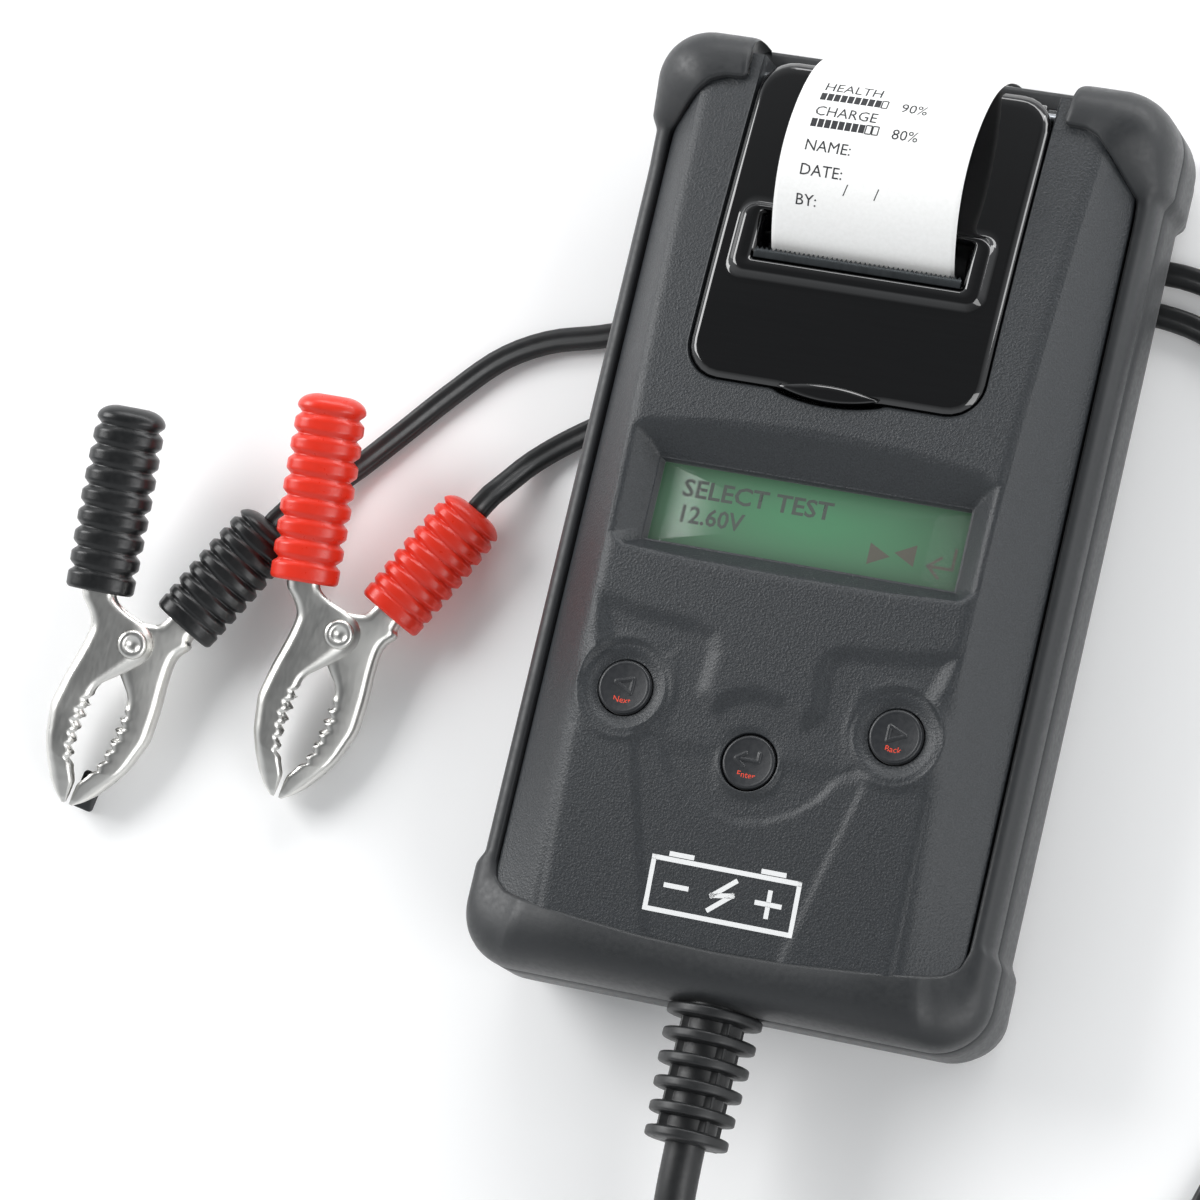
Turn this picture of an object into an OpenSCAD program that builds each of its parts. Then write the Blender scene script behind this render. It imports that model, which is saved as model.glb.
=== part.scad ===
// Handheld battery tester with a built-in receipt printer.
// The tester lies on its back: +Z is out of its front panel, +Y is its printer
// end, and the cable leaves at -Y. The origin is under the middle of the case.

/* [Case] */
// Length over the rubber ends
body_l = 194; // [180:1:240]
// Width over the rubber bumpers
body_w = 109; // [104:1:132]
// Height of the front panel's crown above the table
body_h = 45; // [44:1:54]
// Height of the parting line between the two halves
part_z = 25; // [24:0.5:28]
// Height of the back cover above the table
back_z = 5; // [4.5:0.5:6]
// Wall of the two plastic halves
case_wall = 2.5; // [1.8:0.1:3]
// Thickness of the rubber on the sides
boot_t = 3; // [2.5:0.1:4]
// How much wider the rubber is at the two ends
bumper_step = 1.5; // [0.5:0.1:2.5]

/* [Front panel] */
// Radius of the lengthwise crown of the panel
crown_r = 580; // [450:10:900]
// Place of the highest point of the crown along the case
crown_y = 8; // [0:1:20]
// Width of the flat plateau at its middle
plateau_w = 77; // [70:1:84]
// Height of the panel's outer edge
edge_z = 32; // [30:0.5:34]

/* [Display] */
// Width of the display window
lcd_w = 64.5; // [58:0.5:68]
// Height of the display window
lcd_h = 16.4; // [14:0.2:18]
// Place of the display along the case
lcd_y = -1.25; // [-3:0.25:1]
// Depth of the display window below the crown
lcd_depth = 5; // [4:0.25:5.5]

/* [Keys] */
// Diameter of a key
key_d = 10.8; // [9:0.1:12]
// Travel of a key
key_travel = 0.8; // [0.4:0.1:1]
// Half the distance between the left and the right key
key_x = 28; // [24:0.5:30]
// Place of the left and right keys along the case
key_y = -40; // [-43:0.5:-38]
// Place of the enter key along the case
enter_y = -50; // [-54:0.5:-48]
// Diameter of the dished well round a key
well_d = 18.8; // [17:0.2:20]

/* [Printer] */
// Width of the printer lid
lid_w = 61; // [58:0.5:64]
// Thickness of the lid's plate
lid_t = 2.2; // [1.8:0.1:2.6]
// Width of the paper
paper_w = 38; // [36:0.5:40]
// Diameter of the paper roll
roll_d = 24; // [18:0.5:25]
// Radius of the curl of the printed strip
curl_r = 26.2; // [25:0.1:26.5]
// Diameter of the rubber platen roller
platen_d = 9; // [8:0.1:9.4]
// Diameter of the lid's hinge pin
hinge_pin_d = 2.5; // [2:0.1:3]

/* [Batteries] */
// Diameter of one cell
cell_d = 14.2; // [13.6:0.1:14.5]
// Length of one cell
cell_l = 50; // [48:0.5:51]

/* [Cable] */
// Diameter of the main cable
cable_d = 8; // [7:0.5:8.5]
// Width of a flat lead
lead_w = 5; // [4:0.5:5.5]
// Thickness of a flat lead
lead_t = 3; // [2.5:0.1:3.5]
// Mean diameter of the coil of spare cable
coil_d = 88; // [84:1:92]

/* [Clamps] */
// Length from the rivet to the tip of the jaws
jaw_l = 36; // [34:0.5:38]
// Length of the long grip
long_grip_l = 40; // [36:0.5:44]
// Length of the short grip
short_grip_l = 29.5; // [28:0.5:30]
// Width of the outer sheet steel half
jaw_w = 10; // [9:0.5:11]
// Thickness of the sheet steel
sheet_t = 1; // [0.8:0.1:1.2]
// Diameter of the rivet
rivet_d = 3.6; // [3:0.1:4]
// Diameter of a grip between its ribs
grip_d = 13.2; // [12:0.2:14]

/* [Hidden] */
$fn = 48;

// fits
slip = 0.05;      // running clearance on a radius
seat = 0.1;       // clearance between a part and its seat
gap = 0.5;        // visible gap round the lid
cut = 1;          // how far a cutter passes a face

// case
top_y = body_l / 2;
side_hw = body_w / 2 - bumper_step;
case_hw = side_hw - boot_t;
end_wall = 4;
case_y = top_y - end_wall;
inner_hw = case_hw - case_wall;
inner_y = case_y - case_wall;
floor_z = back_z + case_wall;
panel_hw = case_hw - 1.5;
panel_r = 6;
case_r = 9;
end_z = 30;
bumper_l = 20;

// display
lcd_z = body_h - lcd_depth;
lens_t = 1;
recess_w = lcd_w + 11;
recess_top = 17;
recess_low = 12;
board_z = 30;
board_t = 1.6;
lcd_board_z = lcd_z - 7.4;

// keys
key_sink = 0.5;
key_head = 4.2;
flange_t = 1.2;
flange_d = key_d + 3;
side_key_z = crown(key_y) - key_sink;
enter_key_z = crown(enter_y) - key_sink;
mat_t = 1.4;

// printer
lid_front = top_y - 73.25;
lid_back = top_y - 5.75;
lid_rise = 1;
lid_skirt = 3.5;
bay_hw = lid_w / 2 + gap;
bay_wall = 2;
hinge_y = lid_back - 3.25;
hinge_z = body_h - 9;
slot_hw = 21.5;
slot_front = top_y - 48.25;
slot_back = slot_front + 10;
collar_hw = 26.5;
collar_front = slot_front - 4;
collar_back = slot_back + 1.5;
collar_rise = 1.5;
strip_t = 0.3;
curl_y = slot_front + 21.75;
curl_z = body_h - 20;
strip_front = slot_front + 2.55;
platen_y = slot_front + 7.25;
platen_z = body_h - 11;
gear_m = 0.8;
platen_teeth = 15;
idler_teeth = 20;
pinion_teeth = 10;
mesh_slack = 0.15;
gear_x = 23;
gear_w = 3;
plate_x = 20.6;
plate_t = 1.2;
ear_x = 27;
ear_t = 1.8;
shaft_d = 3;
train_1 = 235;
train_2 = -38;
idler_r = pitch_r(idler_teeth);
mesh_1 = pitch_r(platen_teeth) + idler_r + mesh_slack;
mesh_2 = pitch_r(pinion_teeth) + idler_r + mesh_slack;
idler_y = platen_y + mesh_1 * cos(train_1);
idler_z = platen_z + mesh_1 * sin(train_1);
motor_y = idler_y + mesh_2 * cos(train_2);
motor_z = idler_z + mesh_2 * sin(train_2);
motor_d = 11;
roll_y = case_y - 2 - case_wall - roll_d / 2 - 0.6;
roll_z = floor_z + roll_d / 2 + 2;

// batteries
cell_pitch = cell_d + 0.8;
bay_w = 3 * cell_pitch + 1.2;
bay_l = 2 * cell_l + 3.6;
bay_y = -14.5;
bay_t = 1.6;
bay_top = back_z + 2 + cell_d + 2.4;
door_t = 2;
door_lip = 2.4;
cell_z = bay_top - bay_t - cell_d / 2 - 0.3;

// screws
screw_x = case_hw - 6.3;
screw_y = case_y - 12;
screw_d = 3;
screw_head = 6.4;
boss_d = 9;

// cable
relief_d = 19.2;
relief_end_d = 16.8;
relief_l = 27;
relief_rings = 6;
gland_hole = 13;
gland_l = end_wall + 2 + case_wall + 2 * seat;
coil_x = 52;
coil_y = -top_y - 109;
cable_pts = [for (p = [[0, 85, 25], [0, 71, 23.5], [0, 56, 18], [2, 41, 10.5], [5, 26, 5.5],
    [7, 10, 4.2], [8, 0, 4.2]]) p + [0, coil_y, 0]];
coil_turns = 3;
exit_pts = [for (p = [[96, 0, 20.2], [96, 11, 19], [96.5, 26, 13], [97.5, 40, 7], [98, 54, 5]])
    p + [0, coil_y, 0]];
split_y = coil_y + 54;
split_l = 24;
split_x = 98;
split_t = 10;
black_pts = [[101, split_y + split_l, 4], [105, -112, 2.2], [111, -94, 1.6], [112, -76, 1.6],
    [109, -58, 1.6], [104, -38, 1.6], [99, -18, 1.6], [94, 2, 1.6], [90, 20, 1.6], [86, 38, 1.6],
    [80, 53, 1.6], [70, 64, 1.6], [56, 69, 1.6], [40, 69, 1.6], [20, 66, 1.6], [0, 60, 1.6],
    [-22, 53, 1.6], [-44, 45, 1.6], [-64, 38, 1.6], [-75, 35, 1.6], [-84, 30, 1.6],
    [-93, 21, 1.6], [-103, 9.5, 1.6], [-111, 0, 2.6], [-117, -7, 6], [-120.4, -11.5, 8.6],
    [-123, -16, 8.9]];
red_pts = [[95, split_y + split_l, 4], [98, -112, 2.2], [104, -94, 1.6], [105, -76, 1.6],
    [102, -58, 1.6],
    [97, -38, 1.6], [92, -18, 1.6], [87, 2, 1.6], [83, 20, 1.6], [79, 35, 1.6], [73, 48, 1.6],
    [64, 57, 1.6], [52, 60.5, 1.6], [38, 60, 1.6], [20, 55, 1.6], [0, 47, 1.6], [-20, 38, 1.6],
    [-40, 29, 1.6], [-55, 22, 1.6], [-65, 15.5, 1.6], [-72, 9, 2.8],
    [-75.5, 3, 6], [-77.7, -0.6, 7.6], [-80.2, -5.2, 7.8]];

// clamps
black_at = [-145, -44.5, 11.1];
red_at = [-101.5, -34.5, 10];
black_turn = -12.5;
red_turn = -11;
clamp_pitch = 7;
clamp_roll = 22;
long_angle = 12;
short_angle = 19;
long_base = [-10.5, 6];
short_base = [-7.5, 6];
nest = 0.2;
inner_w = jaw_w - 2 * (sheet_t + nest);
tooth_w = inner_w - 2 * sheet_t - 0.8;
rib_d = grip_d + 1.8;
ribs = 9;
blade_w = 7;
blade_t = 3;

// height of the crowned plateau at a place along the case
function crown(y) = body_h - pow(y - crown_y, 2) / (2 * crown_r);
// half the plateau's width at a place along the case
function plateau(y) = plateau_w / 2 + y * (y > 0 ? 0.045 : 0.018);
// radius of the pitch circle of a gear
function pitch_r(teeth) = gear_m * teeth / 2;
// points on an arc in a plane
function arc(cx, cy, r, from, to, n) =
    [for (i = [0:n]) let (a = from + (to - from) * i / n) [cx + r * cos(a), cy + r * sin(a)]];
// a vector's direction, at length one
function unit(v) = v / norm(v);

// rectangle with round corners, centred
module round_rect(w, l, r) {
    square([w - 2 * r, l], center = true);
    square([w, l - 2 * r], center = true);
    for (sx = [-1, 1], sy = [-1, 1])
        translate([sx * (w / 2 - r), sy * (l / 2 - r)]) circle(r);
}

// round-cornered slab between two heights
module slab(w, l, r, z0, z1, y = 0) {
    translate([0, y, z0]) linear_extrude(z1 - z0) round_rect(w, l, r);
}

// outer form of the front panel, grown by g on every side
module panel_form(g) {
    stations = [-case_y + 7, -50, -20, 8, 36, 64, case_y - 6];
    hull() {
        slab(2 * (panel_hw + g), 2 * (case_y - 2 + g), panel_r + g, part_z - cut, end_z + g);
        slab(2 * (panel_hw + g), 2 * (case_y - 6 + g), panel_r + g, part_z - cut, edge_z + g);
        for (y = stations)
            translate([-plateau(y) - g, y - 0.5, edge_z])
                cube([2 * (plateau(y) + g), 1, crown(y) - edge_z + g]);
    }
}

// cutter for the printer bay, from inside the case up through the panel
module bay_cut(z0) {
    translate([-bay_hw, lid_front - gap, z0])
        cube([2 * bay_hw, case_y - lid_front + gap + cut, body_h]);
}

// cylinder along X
module rod(x0, x1, y, z, d) {
    translate([x0, y, z]) rotate([0, 90, 0]) cylinder(d = d, h = x1 - x0);
}

// four screw places
module at_screws() {
    for (sx = [-1, 1], sy = [-1, 1]) translate([sx * screw_x, sy * screw_y, 0]) children();
}

// the bottom end's hole for the cable, shared by both halves
module gland_cut() {
    translate([0, -top_y - cut, part_z]) rotate([-90, 0, 0])
        cylinder(d = gland_hole + 2 * seat, h = 2 * end_wall + case_wall + 2 * cut);
}

module rear_case() {
    color("#202122") difference() {
        union() {
            difference() {
                slab(2 * case_hw, 2 * case_y, case_r, back_z, part_z);
                slab(2 * inner_hw, 2 * inner_y, case_r - case_wall, floor_z, part_z + cut);
            }
            slab(bay_w + 2 * bay_t, bay_l + 2 * bay_t, 1, back_z, bay_top, bay_y);
            at_screws() translate([0, 0, back_z]) cylinder(d = boss_d, h = part_z - back_z);
        }
        translate([-bay_w / 2, bay_y - bay_l / 2, back_z + 1])
            cube([bay_w, bay_l, bay_top - bay_t - back_z - 1]);
        slab(bay_w - 2 * door_lip, bay_l - 2 * door_lip, 1, back_z - cut, back_z + 2, bay_y);
        slab(bay_w + 2 * seat, bay_l + 2 * seat, 1, back_z - cut, back_z + door_t, bay_y);
        at_screws() {
            translate([0, 0, back_z - cut]) cylinder(d = screw_d + 0.4, h = part_z);
            translate([0, 0, back_z - cut]) cylinder(d = screw_head + 0.6, h = 4 + cut);
        }
        gland_cut();
    }
}

module battery_door() {
    color("#1c1d1e") difference() {
        slab(bay_w, bay_l, 1, back_z, back_z + door_t - seat, bay_y);
        for (i = [-3:3]) translate([-12, bay_y - bay_l / 2 + 10 + i * 2 - 0.4, back_z - cut])
            cube([24, 0.8, cut + 0.5]);
    }
}

module case_screws() {
    color("#8d9094") at_screws() difference() {
        union() {
            translate([0, 0, back_z + 2]) cylinder(d = screw_head, h = 2);
            translate([0, 0, back_z + 3]) cylinder(d = screw_d, h = part_z - back_z + 2);
        }
        for (a = [0, 90]) translate([0, 0, back_z + 2]) rotate(a)
            cube([3.6, 0.9, 2], center = true);
    }
}

module front_case() {
    color("#3f4246") difference() {
        union() {
            difference() {
                panel_form(0);
                panel_form(-case_wall);
                bay_cut(end_z);
                translate([-body_w, -body_l, 0]) cube([2 * body_w, 2 * body_l, part_z]);
            }
            intersection() {
                panel_form(0);
                union() {
                    translate([-recess_w / 2 - 2, lcd_y - recess_low - 2, lcd_z - lens_t - 1])
                        cube([recess_w + 4, recess_low + recess_top + 4, body_h]);
                    for (sx = [-1, 1]) translate([sx * key_x, key_y, side_key_z - key_head])
                        cylinder(d = well_d + 3, h = body_h);
                    translate([0, enter_y, enter_key_z - key_head])
                        cylinder(d = well_d - 2, h = body_h);
                    for (sx = [-1, 1]) translate([sx * (bay_hw + bay_wall / 2), 0, 0])
                        translate([-bay_wall / 2, lid_front - gap - bay_wall, part_z])
                            cube([bay_wall, case_y - lid_front, body_h]);
                    translate([-bay_hw, lid_front - gap - bay_wall, end_z + 2])
                        cube([2 * bay_hw, bay_wall, body_h]);
                    at_screws() translate([0, 0, part_z]) cylinder(d = boss_d, h = 9);
                }
            }
        }
        lcd_funnel();
        for (sx = [-1, 1]) translate([sx * key_x, key_y, 0]) key_well(side_key_z, well_d);
        translate([0, enter_y, 0]) key_well(enter_key_z, key_d + 3.4);
        thumb_tab(gap, end_z);
        at_screws() translate([0, 0, part_z - cut]) cylinder(d = screw_d + 2 * slip, h = 7.5);
        for (sx = [-1, 1]) rod(sx > 0 ? bay_hw - cut : -bay_hw - 1.5, sx > 0 ? bay_hw + 1.5
            : -bay_hw + cut, hinge_y, hinge_z, hinge_pin_d + 2 * slip);
        gland_cut();
    }
}

// sloping recess round the display and the window opening
module lcd_funnel() {
    translate([0, lcd_y, 0]) {
        hull() {
            translate([0, 0, lcd_z]) linear_extrude(0.1) square([lcd_w + 2, lcd_h + 2],
                center = true);
            translate([0, 0, body_h + cut]) linear_extrude(0.1) polygon(concat(
                [[-recess_w / 2, -recess_low + 3], [-recess_w / 2, recess_top - 4]],
                [[0, recess_top], [recess_w / 2, recess_top - 4]],
                [[recess_w / 2, -recess_low + 3], [0, -recess_low]]));
        }
        translate([-lcd_w / 2, -lcd_h / 2, board_z]) cube([lcd_w, lcd_h, body_h]);
        translate([-lcd_w / 2 - 2, -lcd_h / 2 - 2, board_z])
            cube([lcd_w + 4, lcd_h + 4, lcd_z - board_z - 0.6]);
    }
}

// dished well and bore for a key whose top is at z
module key_well(z, d) {
    translate([0, 0, z - 1.2]) cylinder(d1 = key_d + 1.6, d2 = d, h = 1.2 + key_sink + 0.1);
    translate([0, 0, z + key_sink]) cylinder(d = d, h = 3);
    translate([0, 0, part_z]) cylinder(d = key_d + 0.6, h = body_h);
}

// key with a retaining flange, its top at z
module key(z) {
    difference() {
        translate([0, 0, z - key_head - 1]) cylinder(d = key_d, h = key_head + 1);
        translate([0, 0, z + 34.6]) sphere(35, $fn = 64);
    }
    translate([0, 0, z - key_head - slip - flange_t]) cylinder(d = flange_d, h = flange_t);
}

module key_left() { color("#242629") translate([-key_x, key_y, 0]) key(side_key_z); }
module key_right() { color("#242629") translate([key_x, key_y, 0]) key(side_key_z); }
module key_enter() { color("#242629") translate([0, enter_y, 0]) key(enter_key_z); }

// elastomer mat with one dome under each key, lying on the main board
module keypad_mat() {
    top = board_z + board_t;
    color("#54575a") {
        slab(2 * key_x + 18, 30, 3, top, top + mat_t, (key_y + enter_y) / 2);
        for (sx = [-1, 1]) translate([sx * key_x, key_y, top])
            cylinder(d = key_d - 2, h = dome_top(side_key_z) - top);
        translate([0, enter_y, top]) cylinder(d = key_d - 2, h = dome_top(enter_key_z) - top);
    }
}
function dome_top(z) = z - key_head - slip - flange_t - key_travel - slip;

module main_board() {
    color("#1f5a38") difference() {
        slab(80, 92, 2, board_z, board_z + board_t, -29);
        for (sx = [-1, 1], y = [-72, 12]) translate([sx * 36, y, board_z - cut])
            cylinder(d = 3.2, h = 4);
    }
    color("#18191a") for (p = [[-26, -4, 12], [0, 2, 16], [24, -6, 10]])
        translate([p[0] - p[2] / 2, p[1] - p[2] / 2, board_z - 1.6])
            cube([p[2], p[2], 1.6]);
}

module lcd_board() {
    color("#1f5a38") slab(76, 30, 1, lcd_board_z, lcd_board_z + 1.2, lcd_y);
    color("#1b1c1d") for (sx = [-1, 1]) translate([sx * 34 - 2, lcd_y - 12, board_z + board_t])
        cube([4, 24, lcd_board_z - board_z - board_t]);
}

module lcd_bezel() {
    z0 = lcd_board_z + 1.2;
    color("#2b2c2e") translate([0, lcd_y, z0]) linear_extrude(lcd_z - lens_t - 1.6 - z0)
        difference() {
            square([lcd_w + 3.4, lcd_h + 3.4], center = true);
            square([lcd_w + 1, lcd_h + 1], center = true);
        }
}

module lcd_glass() {
    z0 = lcd_board_z + 1.2;
    color("#156f40") translate([-lcd_w / 2, lcd_y - lcd_h / 2, z0])
        cube([lcd_w, lcd_h, lcd_z - lens_t - 1.8 - z0]);
}

module lcd_window() {
    color("#9fc9a8") translate([0, lcd_y, lcd_z - lens_t - 1.5]) linear_extrude(lens_t)
        square([lcd_w + 3.4, lcd_h + 3.4], center = true);
}

// wirewound load resistor in a finned housing
module load_resistor() {
    x = bay_w / 2 + bay_t + 9;
    color("#a9adb0") difference() {
        translate([x - 7, -40, floor_z]) cube([14, 60, 11]);
        for (i = [0:4]) translate([x - 5.6 + i * 2.6, -41, floor_z + 4]) cube([1.2, 62, 8]);
    }
}

// terminal block under the main board where the cable's conductors land
module lead_connector() {
    color("#2f6f4a") difference() {
        translate([-12, -73, board_z - 5]) cube([24, 8, 5]);
        for (i = [-1.5:1.5]) translate([i * 5, -73 - cut, board_z - 2.6]) rotate([-90, 0, 0])
            cylinder(d = 2.9, h = 6);
    }
}

module inner_leads() {
    y0 = -top_y + gland_l + 2 + seat;
    color("#c33023") for (i = [-1.5:1.5])
        tube([[i * 2.8, y0, part_z + 1], [i * 2.8, y0 + 3, part_z + 1], [i * 4, y0 + 7, part_z + 1.6],
            [i * 5, -74, board_z - 2.6], [i * 5, -69, board_z - 2.6]], 2.4, 2.4, 8);
}

// three columns of two cells
module batteries() {
    for (i = [-1:1], j = [-1, 1]) {
        y0 = bay_y + (j < 0 ? -cell_l - 0.3 : 0.3);
        translate([i * cell_pitch, y0, cell_z]) rotate([-90, 0, 0]) {
            color("#2a4a75") cylinder(d = cell_d, h = cell_l - 1.6);
            color("#b9bcc0") cylinder(d = 5.2, h = cell_l);
        }
    }
}

module battery_contacts() {
    t = 0.5;
    color("#c9ccd0") for (j = [-1, 1]) {
        y = bay_y + j * (bay_l / 2 - t / 2 - 0.05);
        translate([-bay_w / 2 + 1, y - t / 2, cell_z - 5]) cube([bay_w - 2, t, 10]);
    }
}

// gear with trimmed teeth, its first tooth at angle a
module gear(teeth, a, bore) {
    r = pitch_r(teeth);
    step = 360 / teeth;
    difference() {
        linear_extrude(gear_w) polygon([for (i = [0:teeth - 1], q = [[-0.25, -1], [-0.1, 0.6],
            [0.1, 0.6], [0.25, -1]])
            let (t = a + (i + q[0]) * step, rr = r + q[1] * gear_m) [rr * cos(t), rr * sin(t)]]);
        translate([0, 0, -cut]) cylinder(d = bore, h = gear_w + 2 * cut);
    }
}

// place a gear in the train: its own +X becomes the case's +Y
module in_train(y, z) {
    translate([gear_x, y, z]) rotate([90, 0, 90]) children();
}

module printer_chassis() {
    y0 = idler_y - 6;
    y1 = platen_y + 8;
    color("#3a3c3f") difference() {
        union() {
            for (sx = [-1, 1]) translate([sx > 0 ? plate_x : -plate_x - plate_t, y0, floor_z])
                cube([plate_t, y1 - y0, platen_z + 3 - floor_z]);
            translate([-plate_x, y0, floor_z]) cube([2 * plate_x, y1 - y0, 1.2]);
            translate([-plate_x, y0, floor_z]) cube([2 * plate_x, 1.4, platen_z - 2 - floor_z]);
            rod(plate_x + plate_t - 0.1, gear_x + gear_w + 0.6, idler_y, idler_z, shaft_d);
        }
        for (sx = [-1, 1]) translate([sx * (plate_x + plate_t / 2) - 2, platen_y - 1.8,
            platen_z - 1.8]) cube([4, 3.6, 10]);
        rod(plate_x - cut, plate_x + plate_t + cut, motor_y, motor_z, 4);
    }
}

module print_head() {
    y1 = platen_y - platen_d / 2 - 0.45;
    color("#b9bcb6") translate([-paper_w / 2 - 1, y1 - 1.6, platen_z - 9])
        cube([paper_w + 2, 1.6, 13]);
    color("#22384e") translate([-paper_w / 2 + 2, y1 - 2.4, platen_z - 9])
        cube([paper_w - 4, 0.8, 8]);
}

module head_spring() {
    y0 = idler_y - 6 + 1.4;
    y1 = platen_y - platen_d / 2 - 0.45 - 2.4;
    n = 4;
    color("#c9ccd0") for (sx = [-1, 1]) translate([sx * 9, y0, platen_z - 5]) rotate([-90, 0, 0])
        for (i = [0:n - 1]) translate([0, 0, 0.35 + i * (y1 - y0 - 0.7) / (n - 1)])
            rotate_extrude() translate([2.2, 0]) circle(d = 0.7, $fn = 16);
}

module platen_roller() {
    color("#2b2c2d") rod(-paper_w / 2 - 0.5, paper_w / 2 + 0.5, platen_y, platen_z, platen_d);
    color("#c3c6ca") rod(-ear_x - ear_t, ear_x + ear_t, platen_y, platen_z, shaft_d - 0.2);
}

module platen_gear() {
    color("#e6e4dc") in_train(platen_y, platen_z) gear(platen_teeth, train_1, shaft_d - 0.2);
}

module idler_gear() {
    color("#e6e4dc") in_train(idler_y, idler_z)
        gear(idler_teeth, train_1 + 180 + 180 / idler_teeth, shaft_d + 2 * slip);
}

module motor_pinion() {
    offset_a = train_2 - (train_1 + 180 + 180 / idler_teeth);
    step = 360 / idler_teeth;
    slip_a = offset_a - step * floor(offset_a / step);
    color("#c8a24c") in_train(motor_y, motor_z)
        gear(pinion_teeth, train_2 + 180 + slip_a * idler_teeth / pinion_teeth
            + 180 / pinion_teeth, 2);
    color("#c3c6ca") rod(plate_x - 1.4, gear_x + gear_w, motor_y, motor_z, 2);
}

module motor() {
    color("#8f9296") difference() {
        rod(-4, plate_x - 0.05, motor_y, motor_z, motor_d);
        rod(plate_x - 2, plate_x + cut, motor_y, motor_z, 2 + 2 * slip);
    }
}

module paper_roll() {
    color("#f3f3ef") difference() {
        rod(-paper_w / 2, paper_w / 2, roll_y, roll_z, roll_d);
        rod(-paper_w / 2 - cut, paper_w / 2 + cut, roll_y, roll_z, 9);
    }
    color("#b08a5a") difference() {
        rod(-paper_w / 2 - 0.6, paper_w / 2 + 0.6, roll_y, roll_z, 9);
        rod(-paper_w / 2 - cut, paper_w / 2 + cut, roll_y, roll_z, 6);
    }
}

// paper from the roll, round under the platen and up past the print head
module paper_web() {
    ri = platen_d / 2 + 0.08;
    ro = ri + strip_t;
    start = [roll_y - roll_d / 2 - 0.5, roll_z + 2];
    low = 285;
    color("#f7f7f4") translate([-paper_w / 2, 0, 0]) rotate([90, 0, 90]) linear_extrude(paper_w)
        polygon(concat([start], arc(platen_y, platen_z, ri, low, 180, 14),
            [[platen_y - ri, platen_z + 5], [platen_y - ro, platen_z + 5]],
            arc(platen_y, platen_z, ro, 180, low, 14), [start + [0, -strip_t]]));
}

// printed strip, which rises out of the slot and curls back over the end
module paper_strip() {
    a0 = 180 - acos((curl_y - strip_front) / curl_r);
    a1 = 3;
    foot = [platen_y - platen_d / 2 - 0.08 - strip_t, platen_z + 5.1];
    color("#fbfbf9") translate([-paper_w / 2, 0, 0]) rotate([90, 0, 90]) linear_extrude(paper_w)
        polygon(concat([foot], arc(curl_y, curl_z, curl_r, a0, a1, 36),
            arc(curl_y, curl_z, curl_r - strip_t, a1, a0, 36), [foot + [strip_t, 0]]));
}

// thumb tab on the lid's front edge, grown by g
module thumb_tab(g, z0) {
    r = 40;
    translate([0, lid_front - 1.5 + r, 0]) intersection() {
        translate([0, 0, z0]) cylinder(r = r + g, h = crown(lid_front) + lid_rise - z0);
        translate([-11.2 - g, -r - 2, z0]) cube([22.4 + 2 * g, 3.6, body_h]);
    }
}

// top face of the lid as an outline in the plane of its sides
function lid_arc(drop) = [for (i = [0:8]) let (y = lid_front + (lid_back - lid_front) * i / 8)
    [y, crown(y) + lid_rise - drop]];

// solid under the lid's crowned top, drop below it
module lid_body(w, drop, depth) {
    translate([-w / 2, 0, 0]) rotate([90, 0, 90]) linear_extrude(w)
        polygon(concat(lid_arc(drop), [[lid_back, crown(lid_back) - depth],
            [lid_front, crown(lid_front) - depth]]));
}

module printer_lid() {
    lid_l = lid_back - lid_front;
    mid = (lid_back + lid_front) / 2;
    color("#0b0b0c") difference() {
        union() {
            intersection() {
                difference() {
                    lid_body(lid_w, 0, lid_skirt);
                    lid_body(lid_w - 4, lid_t, lid_skirt + cut);
                }
                slab(lid_w, lid_l, 7, 0, 2 * body_h, mid);
            }
            thumb_tab(0, crown(lid_front) - 2);
            collar();
            for (sx = [-1, 1]) {
                translate([sx * (ear_x + ear_t / 2) - ear_t / 2, platen_y - 3, platen_z - 3])
                    cube([ear_t, 6, crown(platen_y) - platen_z]);
                translate([sx * 26 - 2, hinge_y - 2.6, hinge_z])
                    cube([4, 5.2, crown(hinge_y) - hinge_z]);
                rod(sx * 26 - 2, sx * 26 + 2, hinge_y, hinge_z, 5.2);
            }
        }
        translate([-slot_hw, slot_front, platen_z + platen_d / 2]) cube([2 * slot_hw,
            slot_back - slot_front, body_h]);
        for (sx = [-1, 1]) {
            rod(sx * (ear_x + ear_t / 2) - 2, sx * (ear_x + ear_t / 2) + 2, platen_y, platen_z,
                shaft_d - 0.2 + 2 * slip);
        }
        rod(-lid_w, lid_w, hinge_y, hinge_z, hinge_pin_d + 2 * slip);
    }
}

// raised frame round the paper slot
module collar() {
    z = crown(collar_front) + lid_rise;
    l = collar_back - collar_front;
    translate([0, (collar_back + collar_front) / 2, z - 2.5]) hull() {
        linear_extrude(0.1) round_rect(2 * collar_hw, l, 3, $fn = 32);
        translate([0, 0, 2.5 + collar_rise]) linear_extrude(0.1)
            round_rect(2 * collar_hw - 3, l - 3, 2, $fn = 32);
    }
}

module lid_hinge_pin() {
    color("#c3c6ca") rod(-bay_hw - 1.4, bay_hw + 1.4, hinge_y, hinge_z, hinge_pin_d);
}

// toothed bar across the front of the slot
module tear_bar() {
    z = crown(collar_front) + lid_rise + collar_rise - 1.4;
    n = 44;
    pitch = 2 * slot_hw / n;
    y1 = strip_front - 0.6;
    color("#606468") translate([0, 0, z]) linear_extrude(1) polygon(concat(
        [[-slot_hw, slot_front]],
        [for (i = [0:n - 1], q = [[0, 0], [0.5, 0.5]])
            [-slot_hw + (i + q[0]) * pitch, y1 - 0.5 + q[1]]],
        [[slot_hw, y1 - 0.5], [slot_hw, slot_front]]));
}

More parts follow.
